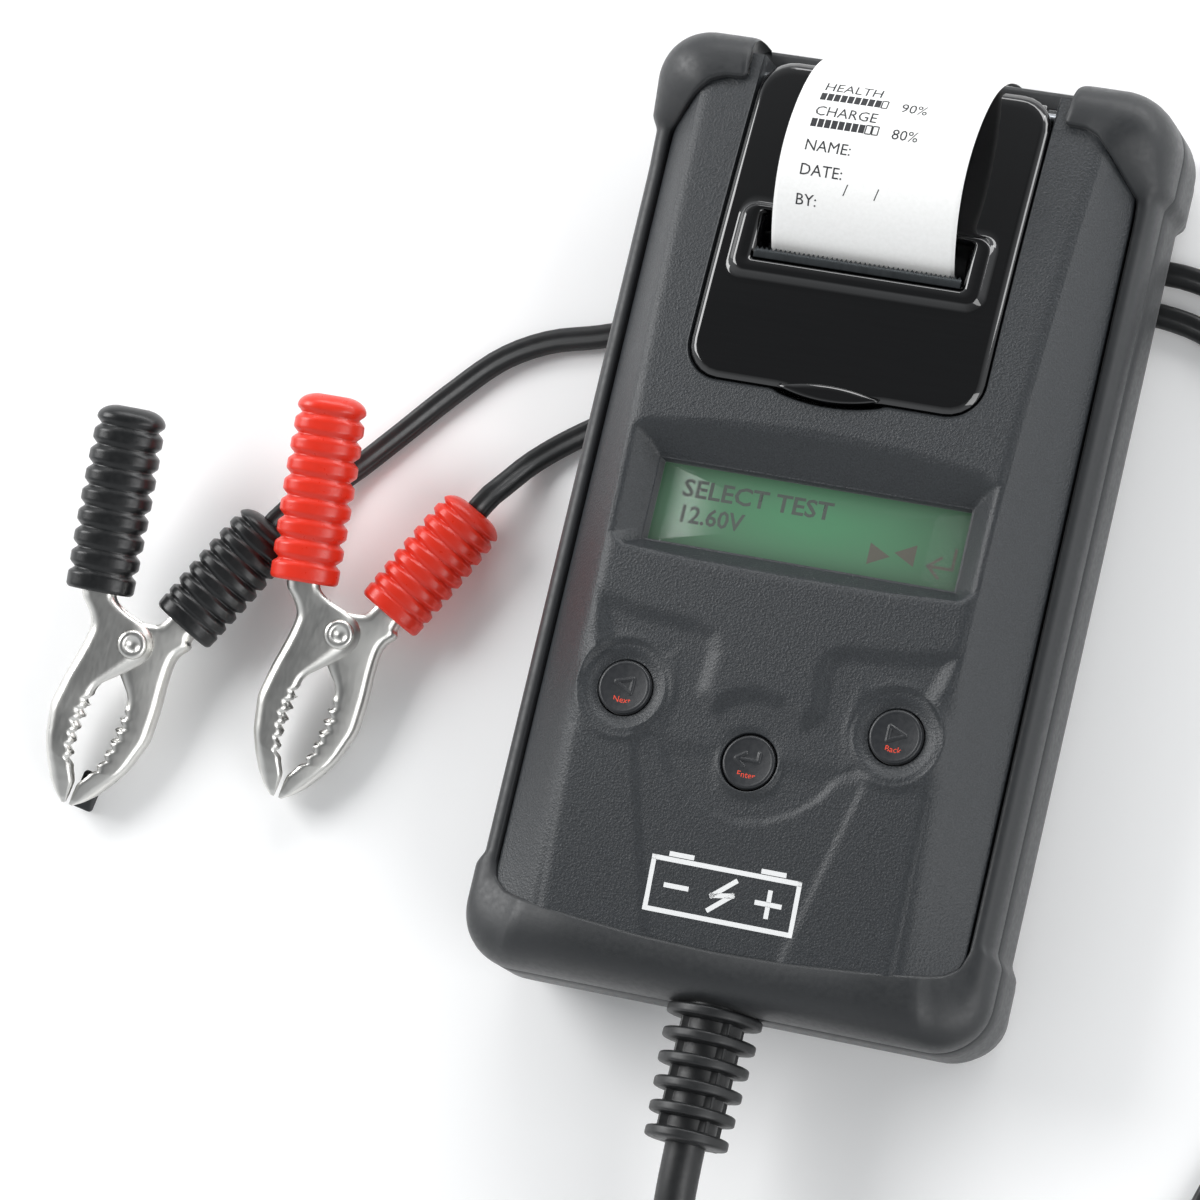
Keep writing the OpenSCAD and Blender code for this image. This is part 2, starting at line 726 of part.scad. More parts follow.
// rubber over the rear half, with a thick bar across the back at each end
module rear_boot() {
    color("#303234") difference() {
        union() {
            hull() {
                slab(2 * side_hw, 2 * top_y - 4, 11, 11, part_z);
                slab(2 * side_hw - 6, 2 * top_y - 12, 9, 4, 11);
            }
            for (s = [-1, 1]) hull() {
                slab(body_w, bumper_l, 9, 11, part_z, s * (top_y - bumper_l / 2));
                slab(body_w - 8, bumper_l - 5, 6, 0, 11, s * (top_y - bumper_l / 2 - 1));
            }
        }
        slab(2 * case_hw, 2 * case_y, case_r, back_z, part_z + cut);
        slab(2 * case_hw - 10, 2 * case_y - 2 * bumper_l + 4, 4, -cut, back_z + cut);
        at_screws() translate([0, 0, -cut]) cylinder(d = screw_head + 1, h = back_z + 2 * cut);
        gland_cut();
    }
}

// rubber over the front half: side bands, bottom bumper and two top corner caps
module front_boot() {
    cap_in = 33;
    color("#303234") difference() {
        union() {
            hull() {
                slab(2 * side_hw, 2 * top_y - 4, 11, part_z, part_z + 1);
                slab(2 * side_hw - 3, 2 * top_y - 7, 10, part_z, end_z);
            }
            hull() {
                slab(body_w, bumper_l, 9, part_z, part_z + 4, -top_y + bumper_l / 2);
                slab(body_w - 5, bumper_l - 5, 7, part_z, part_z + 10, -top_y + bumper_l / 2 + 1);
                slab(body_w - 11, 9, 4, part_z, crown(-case_y + 7) - 1, -case_y + 9);
            }
            for (s = [-1, 1]) hull() {
                translate([s * (cap_in + body_w / 2) / 2, 0, 0]) {
                    slab(body_w / 2 - cap_in, bumper_l, 6, part_z, part_z + 5,
                        top_y - bumper_l / 2);
                    translate([-s * 1.5, 0, 0]) slab(body_w / 2 - cap_in - 3, bumper_l - 5, 4,
                        part_z, crown(case_y - 6) + 1, top_y - bumper_l / 2 - 0.5);
                }
            }
        }
        panel_form(seat);
        translate([-cap_in, case_y - 30, part_z - cut]) cube([2 * cap_in, 60, body_h]);
        slab(2 * case_hw - 2, 2 * case_y - 2, case_r - 1, part_z - cut, end_z - 1.5);
        gland_cut();
    }
}

// ringed rubber sleeve where the cable leaves, held between the two halves
module strain_relief() {
    y0 = -top_y - seat;
    step = (relief_l - 3) / (relief_rings - 1);
    color("#1c1d1e") translate([0, y0, part_z]) rotate([90, 0, 0]) difference() {
        union() {
            translate([0, 0, -gland_l]) cylinder(d = gland_hole, h = gland_l + 1);
            translate([-gland_hole / 2 - 3, -gland_hole / 2 - 2, -gland_l - 2])
                cube([gland_hole + 6, gland_hole / 2 + 4, 2.5]);
            cylinder(d1 = 12.5, d2 = 11.5, h = relief_l);
            for (i = [0:relief_rings - 1]) translate([0, 0, i * step])
                cylinder(d = relief_d + (relief_end_d - relief_d) * i / (relief_rings - 1), h = 2.6);
            translate([-1.6, -relief_end_d / 2 + 1, 0]) cube([3.2, relief_end_d - 2, relief_l - 1]);
            translate([-relief_end_d / 2 + 1, -1.6, 0]) cube([relief_end_d - 2, 3.2, relief_l - 1]);
        }
        translate([0, 0, relief_l - 3]) cylinder(d = cable_d + 2 * seat, h = 4);
    }
}

// tube of w by h along points, one ring at each point
module tube(pts, w, h, sides) {
    n = len(pts);
    function ahead(i) = unit(pts[min(i + 1, n - 1)] - pts[max(i - 1, 0)]);
    function across(i) = let (t = ahead(i)) unit(cross(t, [0, 0, 1]));
    function over(i) = cross(across(i), ahead(i));
    rings = [for (i = [0:n - 1], k = [0:sides - 1]) let (a = 360 * (k + 0.5) / sides)
        pts[i] + across(i) * w / 2 * cos(a) + over(i) * h / 2 * sin(a)];
    sides_f = [for (i = [0:n - 2], k = [0:sides - 1]) let (j = (k + 1) % sides)
        [i * sides + k, i * sides + j, (i + 1) * sides + j, (i + 1) * sides + k]];
    polyhedron(rings, concat([[for (k = [sides - 1:-1:0]) k]], sides_f,
        [[for (k = [0:sides - 1]) (n - 1) * sides + k]]), convexity = 6);
}

module main_cable() {
    color("#232324") {
        tube(cable_pts, cable_d, cable_d, 10);
        tube(exit_pts, cable_d, cable_d, 10);
    }
}

module cable_coil() {
    color("#232324") translate([coil_x, coil_y, 0.2]) rotate_extrude($fn = 64)
        translate([coil_d / 2 - cable_d / 2, 0]) square([cable_d, coil_turns * cable_d]);
}

module y_splitter() {
    color("#1c1d1e") hull() {
        translate([split_x, split_y, split_t / 2]) rotate([-90, 0, 0])
            cylinder(d = split_t, h = 2, $fn = 32);
        for (s = [-1, 1]) translate([split_x + s * 3.4, split_y + split_l - 2, 4])
            rotate([-90, 0, 0]) cylinder(d = 7, h = 2, $fn = 32);
    }
}

module lead_black() { color("#1b1b1c") tube(black_pts, lead_w, lead_t, 8); }
module lead_red() { color("#1b1b1c") tube(red_pts, lead_w, lead_t, 8); }

// put a clamp's own frame where it lies: rivet at p, turned about the vertical
module lay_clamp(p, turn) {
    translate(p) rotate([0, 0, turn]) rotate([clamp_pitch, 0, 0]) rotate([0, clamp_roll, 0])
        children();
}

// outer and inner edges of one sheet steel half, whose grip starts at b and leans by a
function jaw_outer(b, a) = [[-1, -jaw_l], [-5, -jaw_l + 3.4], [-9.6, -jaw_l + 12],
    [-11.2, -16], [-9.8, -6], [-9.4, 0], b - 3.4 * [cos(a), sin(a)]];
function jaw_inner(b, a) = [b + 3.4 * [cos(a), sin(a)], [-2.4, 4.6], [2.6, 4.4], [4.6, 0],
    [2.6, -4.4], [-3, -9.5], [-4.4, -18], [-3.6, -jaw_l + 10], [-1.4, -jaw_l + 6],
    [-0.3, -jaw_l + 5], [-0.3, -jaw_l]];

// folded sheet steel half of a clamp, open towards the other half
module jaw_half(b, a, w, bore, grip_l) {
    outer = jaw_outer(b, a);
    far = 30;
    difference() {
        union() {
            difference() {
                translate([0, 0, -w / 2]) linear_extrude(w)
                    polygon(concat(outer, jaw_inner(b, a)));
                translate([0, 0, -w / 2 + sheet_t]) linear_extrude(w - 2 * sheet_t)
                    polygon(concat([for (p = outer) p + [sheet_t, 0.2]],
                        [b + [0, far], [far, far], [far, -2 * far], [sheet_t, -2 * far]]));
            }
            translate([b[0], b[1], 0]) rotate(a) {
                translate([-blade_w / 2, -0.4, -w / 2 + 0.3]) cube([blade_w, 1.4, w - 0.6]);
                translate([-blade_w / 2 + 0.2, 0, -blade_t / 2])
                    cube([blade_w - 0.4, grip_l - 6, blade_t]);
            }
        }
        translate([0, 0, -w]) cylinder(d = bore, h = 2 * w);
    }
}

// dipped vinyl grip with ribs, hollow over the steel blade
module grip(b, a, l, wire) {
    start = 1.3;
    step = (l - start) / ribs;
    translate([b[0], b[1], 0]) rotate(a) difference() {
        translate([0, start, 0]) rotate([-90, 0, 0]) {
            cylinder(d = grip_d, h = l - start);
            for (i = [0:ribs - 1]) translate([0, 0, i * step + 0.25 * step])
                cylinder(d = rib_d, h = step * 0.6);
        }
        translate([-blade_w / 2 - seat, start - cut, -blade_t / 2 - seat])
            cube([blade_w + 2 * seat, l - 6 - start + cut + seat, blade_t + 2 * seat]);
        if (wire) translate([0, l - 4, 0]) rotate([-90, 0, 0]) cylinder(d = 5.8, h = 4 + cut);
    }
}

// toothed contact strip inside a jaw
module teeth_strip() {
    n = 5;
    y0 = -jaw_l + 8;
    step = 2.6;
    translate([0, 0, -tooth_w / 2]) linear_extrude(tooth_w) polygon(concat(
        [[-6.6, y0 + n * step], [-6.6, y0 + 1]], [for (i = [0:n - 1], q = [[0, 0], [0.5, 1.7]])
            [-4.6 + q[1] - (i > 0 && i < 4 ? 0.4 : 0), y0 + (i + q[0]) * step]],
        [[-4.6, y0 + n * step]]));
    translate([-8.3, y0 + 4.5, -tooth_w / 2]) cube([1.9, n * step / 2, tooth_w]);
}

// torsion spring round the rivet, with an arm to each half
module clamp_spring() {
    wire = 1.1;
    turns = 3;
    rotate_extrude() translate([0, -turns * wire / 2]) polygon(concat([[2.5, 0]],
        [for (i = [0:turns - 1], q = [[3.2, 0], [3.7, 0.5]]) [q[0], (i + q[1]) * wire]],
        [[3.2, turns * wire], [2.5, turns * wire]]));
    for (s = [-1, 1]) translate([s * (3.75 + wire / 2), -0.5, s * wire]) rotate([-90, 0, 0])
        cylinder(d = wire, h = s < 0 ? 7 : 3.5);
}

module rivet() {
    cylinder(d = rivet_d, h = jaw_w, center = true);
    for (s = [-1, 1]) translate([0, 0, s * (jaw_w / 2 + slip + 0.5)])
        cylinder(d = rivet_d + 2.6, h = 1, center = true);
}

module long_half() {
    jaw_half(long_base, long_angle, jaw_w, rivet_d + 2 * slip, long_grip_l);
}
module short_half() {
    mirror([1, 0, 0]) jaw_half(short_base, short_angle, inner_w, rivet_d, short_grip_l);
}
module jaw_pad() {
    translate([0.6, -jaw_l - 0.2, -inner_w / 2 - 1.25]) cube([4.6, 8, 1.2]);
}

module black_jaw_long() { color("#c8c9c6") lay_clamp(black_at, black_turn) long_half(); }
module black_jaw_short() { color("#c8c9c6") lay_clamp(black_at, black_turn) short_half(); }
module black_grip_long() {
    color("#1a1b1b") lay_clamp(black_at, black_turn)
        grip(long_base, long_angle, long_grip_l, false);
}
module black_grip_short() {
    color("#1a1b1b") lay_clamp(black_at, black_turn) mirror([1, 0, 0])
        grip(short_base, short_angle, short_grip_l, true);
}
module black_spring() { color("#a5a7a8") lay_clamp(black_at, black_turn) clamp_spring(); }
module black_rivet() { color("#b9bbb9") lay_clamp(black_at, black_turn) rivet(); }
module black_teeth_long() { color("#b98a5e") lay_clamp(black_at, black_turn) teeth_strip(); }
module black_teeth_short() {
    color("#b98a5e") lay_clamp(black_at, black_turn) mirror([1, 0, 0]) teeth_strip();
}
module black_pad() { color("#151515") lay_clamp(black_at, black_turn) jaw_pad(); }

module red_jaw_long() { color("#c8c9c6") lay_clamp(red_at, red_turn) long_half(); }
module red_jaw_short() { color("#c8c9c6") lay_clamp(red_at, red_turn) short_half(); }
module red_grip_long() {
    color("#e8341c") lay_clamp(red_at, red_turn)
        grip(long_base, long_angle, long_grip_l, false);
}
module red_grip_short() {
    color("#e8341c") lay_clamp(red_at, red_turn) mirror([1, 0, 0])
        grip(short_base, short_angle, short_grip_l, true);
}
module red_spring() { color("#a5a7a8") lay_clamp(red_at, red_turn) clamp_spring(); }
module red_rivet() { color("#b9bbb9") lay_clamp(red_at, red_turn) rivet(); }
module red_teeth_long() { color("#b98a5e") lay_clamp(red_at, red_turn) teeth_strip(); }
module red_teeth_short() {
    color("#b98a5e") lay_clamp(red_at, red_turn) mirror([1, 0, 0]) teeth_strip();
}

rear_case();
front_case();
rear_boot();
front_boot();
battery_door();
case_screws();
lcd_window();
lcd_glass();
lcd_bezel();
lcd_board();
keypad_mat();
key_left();
key_right();
key_enter();
main_board();
load_resistor();
lead_connector();
inner_leads();
batteries();
battery_contacts();
printer_chassis();
print_head();
head_spring();
platen_roller();
platen_gear();
idler_gear();
motor();
motor_pinion();
paper_roll();
paper_web();
paper_strip();
printer_lid();
lid_hinge_pin();
tear_bar();
strain_relief();
main_cable();
cable_coil();
y_splitter();
lead_black();
lead_red();
black_jaw_long();
black_jaw_short();
black_grip_long();
black_grip_short();
black_spring();
black_rivet();
black_teeth_long();
black_teeth_short();
black_pad();
red_jaw_long();
red_jaw_short();
red_grip_long();
red_grip_short();
red_spring();
red_rivet();
red_teeth_long();
red_teeth_short();
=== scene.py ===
"""A handheld battery tester with a receipt printer, lying on its back, with its cable and clamps."""

import bpy
import numpy as np
from mathutils import Matrix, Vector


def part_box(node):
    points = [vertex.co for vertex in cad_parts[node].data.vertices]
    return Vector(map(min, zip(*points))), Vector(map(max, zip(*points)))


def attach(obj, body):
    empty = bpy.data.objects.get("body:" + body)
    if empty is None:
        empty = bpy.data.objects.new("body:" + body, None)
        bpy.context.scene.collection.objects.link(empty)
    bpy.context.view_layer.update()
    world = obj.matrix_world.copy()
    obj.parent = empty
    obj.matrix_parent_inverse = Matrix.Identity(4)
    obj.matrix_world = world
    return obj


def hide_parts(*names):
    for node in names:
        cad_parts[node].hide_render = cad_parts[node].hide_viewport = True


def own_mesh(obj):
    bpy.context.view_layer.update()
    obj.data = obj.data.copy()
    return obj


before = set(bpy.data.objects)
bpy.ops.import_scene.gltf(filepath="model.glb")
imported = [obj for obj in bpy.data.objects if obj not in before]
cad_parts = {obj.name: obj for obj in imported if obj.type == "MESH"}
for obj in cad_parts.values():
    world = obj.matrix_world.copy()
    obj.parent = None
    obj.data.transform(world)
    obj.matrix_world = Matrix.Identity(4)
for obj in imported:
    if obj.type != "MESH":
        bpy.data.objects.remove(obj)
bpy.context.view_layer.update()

scene = bpy.context.scene

# --- Camera, lights and floor -------------------------------------------------------
# A product shot from above the display's lower right, with the tester turned a little
# clockwise in the picture. Soft boxes stand over a white sweep of paper.
MM = 0.001
look_at = np.array([-37.9, -23.4, 40.0]) * MM
toward_camera = np.array([0.321, -0.167, 0.932])
camera_up = np.array([-0.166, 0.959, 0.230])
camera_distance = 1.15
camera_scale = 5.068          # picture points per millimetre at the display, of 1200


def unit(v):
    """v divided by its length."""
    v = np.asarray(v, float)
    return v / np.linalg.norm(v)


def place(obj, at, back, up):
    """Stands obj at a point with its own +Z along back and its +Y as near up as can be."""
    z = unit(back)
    x = unit(np.cross(up, z))
    y = np.cross(z, x)
    turn = np.eye(4)
    turn[:3, 0], turn[:3, 1], turn[:3, 2], turn[:3, 3] = x, y, z, at
    obj.matrix_world = Matrix(turn)


camera = bpy.data.objects.new("camera", bpy.data.cameras.new("camera"))
scene.collection.objects.link(camera)
camera.data.sensor_width = 36.0
camera.data.lens = camera_scale * camera_distance * 1000 * 36.0 / 1200
camera.data.clip_start = 0.01
camera.data.clip_end = 20
place(camera, look_at + unit(toward_camera) * camera_distance, toward_camera, camera_up)
scene.camera = camera


def soft_box(name, at, aim, size, power, tint=(1, 1, 1)):
    """An area light at a point, aimed at another, with its power in watts."""
    lamp = bpy.data.lights.new(name, "AREA")
    lamp.shape = "RECTANGLE"
    lamp.size, lamp.size_y = size
    lamp.energy = power
    lamp.color = tint
    obj = bpy.data.objects.new(name, lamp)
    scene.collection.objects.link(obj)
    place(obj, np.array(at), np.array(at) - np.array(aim), (0.0, 1.0, 0.1))
    return obj


centre = np.array([-0.02, 0.0, 0.03])
soft_box("key_box", (-1.15, 0.30, 0.85), centre, (0.9, 0.8), 15.0)
soft_box("fill_box", (1.05, -0.45, 0.80), centre, (0.8, 0.8), 6.5)
soft_box("top_box", (0.10, 1.10, 0.62), centre, (1.2, 0.35), 7.0)
soft_box("strip_box", (0.85, 0.75, 0.35), centre, (0.25, 0.9), 3.5)

world = bpy.data.worlds.new("studio")
scene.world = world
world.use_nodes = True
sky = world.node_tree
sky_way = sky.nodes.new("ShaderNodeTexCoord")
sky_split = sky.nodes.new("ShaderNodeSeparateXYZ")
sky_ramp = sky.nodes.new("ShaderNodeValToRGB")
sky.links.new(sky_way.outputs["Generated"], sky_split.inputs[0])
sky.links.new(sky_split.outputs["Z"], sky_ramp.inputs["Fac"])
sky_ramp.color_ramp.elements[0].color = (0.72, 0.74, 0.76, 1)
sky_ramp.color_ramp.elements[0].position = 0.45
sky_ramp.color_ramp.elements[1].color = (0.13, 0.135, 0.14, 1)
sky_ramp.color_ramp.elements[1].position = 0.90
sky.links.new(sky_ramp.outputs["Color"], sky.nodes["Background"].inputs["Color"])
scene.view_settings.view_transform = "Standard"
scene.view_settings.look = "None"


def linear(code):
    """An sRGB hex colour such as '#3a3d40' as four linear numbers."""
    srgb = np.array([int(code[i : i + 2], 16) for i in (1, 3, 5)]) / 255
    low = srgb / 12.92
    high = ((srgb + 0.055) / 1.055) ** 2.4
    return (*np.where(srgb <= 0.04045, low, high).tolist(), 1.0)


def add(tree, kind, inputs=(), **settings):
    """Adds a node, with its settings, its input values, and links from sockets given as inputs."""
    node = tree.nodes.new(kind)
    for name, value in settings.items():
        setattr(node, name, value)
    for key, value in dict(inputs).items():
        if isinstance(value, bpy.types.NodeSocket):
            tree.links.new(value, node.inputs[key])
        else:
            node.inputs[key].default_value = value
    return node


def finish_of(name, **sockets):
    """A new material, its node tree and its Principled shader with the given socket values."""
    material = bpy.data.materials.new(name)
    material.use_nodes = True
    tree = material.node_tree
    shader = tree.nodes["Principled BSDF"]
    for key, value in sockets.items():
        shader.inputs[key.replace("_", " ")].default_value = value
    return material, tree, shader


def skin(name, points, faces, material, smooth=True):
    """A mesh object from an array of points in metres and an array of faces."""
    mesh = bpy.data.meshes.new(name)
    points = np.asarray(points, float).reshape(-1, 3)
    faces = [np.asarray(f).reshape(-1, np.asarray(f).shape[-1]) for f in (
        faces if isinstance(faces, (list, tuple)) else [faces])]
    counts = np.concatenate([np.full(len(f), f.shape[1]) for f in faces])
    corners = np.concatenate([f.ravel() for f in faces]).astype(np.int32)
    mesh.vertices.add(len(points))
    mesh.vertices.foreach_set("co", points.astype(np.float32).ravel())
    mesh.loops.add(len(corners))
    mesh.loops.foreach_set("vertex_index", corners)
    mesh.polygons.add(len(counts))
    starts = np.concatenate([[0], np.cumsum(counts)[:-1]]).astype(np.int32)
    mesh.polygons.foreach_set("loop_start", starts)
    mesh.polygons.foreach_set("loop_total", counts.astype(np.int32))
    mesh.update(calc_edges=True)
    mesh.validate()
    if smooth:
        mesh.polygons.foreach_set("use_smooth", np.ones(len(counts), bool))
    if material is not None:
        mesh.materials.append(material)
    obj = bpy.data.objects.new(name, mesh)
    scene.collection.objects.link(obj)
    return obj


def quads(rows, columns, close_rows=False, close_columns=False, start=0):
    """Faces of a grid of rows by columns points, counted row by row, joined end to end where closed."""
    i = np.arange(rows if close_rows else rows - 1)[:, None]
    j = np.arange(columns if close_columns else columns - 1)[None, :]
    i2, j2 = (i + 1) % rows, (j + 1) % columns
    faces = [i * columns + j, i * columns + j2, i2 * columns + j2, i2 * columns + j]
    return np.stack(np.broadcast_arrays(*faces), -1).reshape(-1, 4) + start


paper_sweep, tree, shader = finish_of("white_paper_sweep", Roughness=0.9)
shader.inputs["Base Color"].default_value = linear("#fafafa")
shader.inputs["Emission Color"].default_value = (1, 1, 1, 1)
shader.inputs["Emission Strength"].default_value = 0.07
shader.inputs["Specular IOR Level"].default_value = 0.1
across = np.linspace(-2.5, 2.5, 3)
sweep = np.array([[x, y, 0.0] for y in across for x in across])
floor = skin("floor", sweep, quads(3, 3), paper_sweep, smooth=False)

# --- Strain relief --------------------------------------------------------------------
# A sleeve of soft black PVC, moulded on to the cable in rings so that it bends evenly.
# Its groove sits in the end wall between the two halves of the case.
def sock(path, width, height, sides=24, up=(0.0, 0.0, 1.0)):
    """A tube of oval section along a path. Each ring stands across the path's own direction,
    with its width level, and the ends are closed by a rounded cap of three rings."""
    path = np.asarray(path, float)
    ahead = np.gradient(path, axis=0)
    ahead /= np.linalg.norm(ahead, axis=1)[:, None]
    side = np.cross(ahead, up)
    side /= np.linalg.norm(side, axis=1)[:, None]
    over = np.cross(side, ahead)
    cap = np.array([[0.0, 0.001], [0.05, 0.55], [0.2, 0.86]])
    first = path[:1] + ahead[:1] * (cap[:, :1] - 0.3) * height * 0.2
    last = path[-1:] - ahead[-1:] * (cap[::-1, :1] - 0.3) * height * 0.2
    centres = np.vstack([first, path, last])
    side = np.vstack([np.repeat(side[:1], 3, 0), side, np.repeat(side[-1:], 3, 0)])
    over = np.vstack([np.repeat(over[:1], 3, 0), over, np.repeat(over[-1:], 3, 0)])
    scale = np.concatenate([cap[:, 1], np.ones(len(path)), cap[::-1, 1]])
    turn = np.linspace(0, 2 * np.pi, sides, endpoint=False)
    ring = side[:, None] * np.cos(turn)[None, :, None] * width / 2
    ring = ring + over[:, None] * np.sin(turn)[None, :, None] * height / 2
    points = centres[:, None] + ring * scale[:, None, None]
    return points.reshape(-1, 3), quads(len(centres), sides, close_columns=True)


def smooth_path(points, step):
    """A smooth curve through listed points in millimetres, as points about a step apart
    in metres: a centripetal Catmull-Rom spline, sampled evenly along its length."""
    p = np.asarray(points, float) * MM
    p = np.vstack([2 * p[0] - p[1], p, 2 * p[-1] - p[-2]])
    knots = np.concatenate([[0], np.cumsum(np.linalg.norm(np.diff(p, axis=0), axis=1) ** 0.5)])
    out = []
    for i in range(1, len(p) - 2):
        t0, t1, t2, t3 = knots[i - 1 : i + 3]
        t = np.linspace(t1, t2, 24, endpoint=False)[:, None]
        a1 = (t1 - t) / (t1 - t0) * p[i - 1] + (t - t0) / (t1 - t0) * p[i]
        a2 = (t2 - t) / (t2 - t1) * p[i] + (t - t1) / (t2 - t1) * p[i + 1]
        a3 = (t3 - t) / (t3 - t2) * p[i + 1] + (t - t2) / (t3 - t2) * p[i + 2]
        b1 = (t2 - t) / (t2 - t0) * a1 + (t - t0) / (t2 - t0) * a2
        b2 = (t3 - t) / (t3 - t1) * a2 + (t - t1) / (t3 - t1) * a3
        out.append((t2 - t) / (t2 - t1) * b1 + (t - t1) / (t2 - t1) * b2)
    line = np.vstack(out + [p[-2:-1]])
    along = np.concatenate([[0], np.cumsum(np.linalg.norm(np.diff(line, axis=0), axis=1))])
    even = np.linspace(0, along[-1], int(along[-1] / step) + 2)
    return np.stack([np.interp(even, along, line[:, k]) for k in range(3)], 1)


# Plasticised PVC, IOR 1.53: satin, with the faint orange-peel of a moulded skin.
def soft_pvc(name, code, roughness):
    """Soft PVC of a colour, with a fine mottle in its gloss."""
    material, tree, shader = finish_of(name, IOR=1.53, Roughness=roughness)
    place_of = add(tree, "ShaderNodeTexCoord")
    mottle = add(tree, "ShaderNodeTexNoise", {"Vector": place_of.outputs["Object"], "Scale": 900.0,
        "Detail": 3.0})
    wide = add(tree, "ShaderNodeTexNoise", {"Vector": place_of.outputs["Object"], "Scale": 60.0,
        "Detail": 2.0})
    tone = add(tree, "ShaderNodeValToRGB", {"Fac": wide.outputs["Fac"]})
    base = np.array(linear(code))
    tone.color_ramp.elements[0].color = (*(base[:3] * 0.88), 1)
    tone.color_ramp.elements[1].color = (*(base[:3] * 1.12), 1)
    tree.links.new(tone.outputs["Color"], shader.inputs["Base Color"])
    gloss = add(tree, "ShaderNodeMapRange", {"Value": mottle.outputs["Fac"], "From Min": 0.3,
        "From Max": 0.7, "To Min": roughness - 0.05, "To Max": roughness + 0.07})
    tree.links.new(gloss.outputs["Result"], shader.inputs["Roughness"])
    bump = add(tree, "ShaderNodeBump", {"Height": mottle.outputs["Fac"], "Strength": 0.12,
        "Distance": 0.0002})
    tree.links.new(bump.outputs["Normal"], shader.inputs["Normal"])
    return material


cable_pvc = soft_pvc("black_cable_pvc", "#1f2021", 0.42)
relief_low, relief_high = np.array(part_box("strain_relief")) / MM
case_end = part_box("rear_boot")[0][1] / MM
axis_z = (relief_low[2] + relief_high[2]) / 2
relief_rings, ring_t, core_r = 6, 2.6, 5.9
relief_l = case_end - relief_low[1] - 0.2
ring_r = np.linspace(9.55, 8.35, relief_rings)
ring_at = np.linspace(ring_t / 2, relief_l - ring_t / 2, relief_rings)


def relief_profile():
    """Radius along the sleeve: a core that narrows, and rings with round rims of their own."""
    along = np.linspace(-8.0, relief_l, 420)
    radius = core_r - 0.5 * np.clip(along / relief_l, 0, 1)
    for at, r in zip(ring_at, ring_r):
        off = np.clip(np.abs(along - at) / (ring_t / 2), 0, 1)
        rim = (1 - off**5) ** (1 / 2.6)
        radius = np.maximum(radius, core_r - 0.6 + (r - core_r + 0.6) * rim)
    radius = np.where(along < 0, 6.4, radius)
    return along, radius


def relief_mesh():
    """The profile turned about the cable, with four webs that fill between the rings."""
    along, radius = relief_profile()
    turn = np.linspace(0, 2 * np.pi, 96, endpoint=False)
    web = np.max([np.exp(-(((turn - w + np.pi) % (2 * np.pi) - np.pi) / 0.16) ** 4)
        for w in np.pi / 4 + np.arange(4) * np.pi / 2], axis=0)
    r = np.maximum(radius[:, None], (along[:, None] > 0.3) * web[None] * (radius.max() - 2.4))
    r = np.vstack([np.full((1, 96), 4.02), r, np.full((1, 96), 4.02), np.full((1, 96), 3.98)])
    along = np.concatenate([[along[0]], along, [relief_l, relief_l - 4]])
    x = r * np.cos(turn)
    z = r * np.sin(turn) + axis_z
    y = np.broadcast_to((case_end - along)[:, None], x.shape)
    return np.stack([x, y, z], -1) * MM, quads(len(along), 96, close_columns=True)


sleeve = skin("strain_relief_sleeve", *relief_mesh(), cable_pvc)
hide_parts("strain_relief")
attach(sleeve, "tester")

# --- Main cable -----------------------------------------------------------------------
# Eight millimetres of round PVC jacket over four cores. It drops to the table, and the
# spare length is wound in three turns just past the picture, up to where it splits.
cable_d, coil_d = 8.0, 88.0
coil_at = np.array([52.0, -206.0])
out_of_case = [[0, -121, 25], [0, -135, 23.5], [0, -150, 18], [2, -165, 10.5], [5, -180, 5.5],
    [7, -196, 4.2]]
to_the_split = [[96, -195, 19], [96.5, -180, 13], [97.5, -166, 7], [98, -152, 5],
    [98, -149, 5]]


def coil_turns(turns, first, rise):
    """Turns of cable stacked one on another: level round each turn, then up one diameter in
    the last part of it, by a smooth step."""
    angle = np.linspace(0, turns, int(turns * 36) + 1)
    whole, part = np.floor(angle + 1e-9), (angle + 1e-9) % 1
    step = np.clip((part - 0.70) / 0.26, 0, 1)
    height = first + rise * (whole + step * step * (3 - 2 * step))
    turn = np.pi + 2 * np.pi * angle
    return np.stack([coil_at[0] + coil_d / 2 * np.cos(turn),
        coil_at[1] + coil_d / 2 * np.sin(turn), height], 1)


wound = coil_turns(2.5, 4.2, cable_d)
main_path = smooth_path(np.vstack([out_of_case, wound, to_the_split]), 0.003)
jacket = skin("main_cable_jacket", *sock(main_path, cable_d * MM, cable_d * MM, 20), cable_pvc)
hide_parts("main_cable", "cable_coil")
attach(jacket, "tester")

# --- Y splitter -----------------------------------------------------------------------
# A moulded block where the round cable parts into two flat leads.
split_low, split_high = np.array(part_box("y_splitter")) / MM


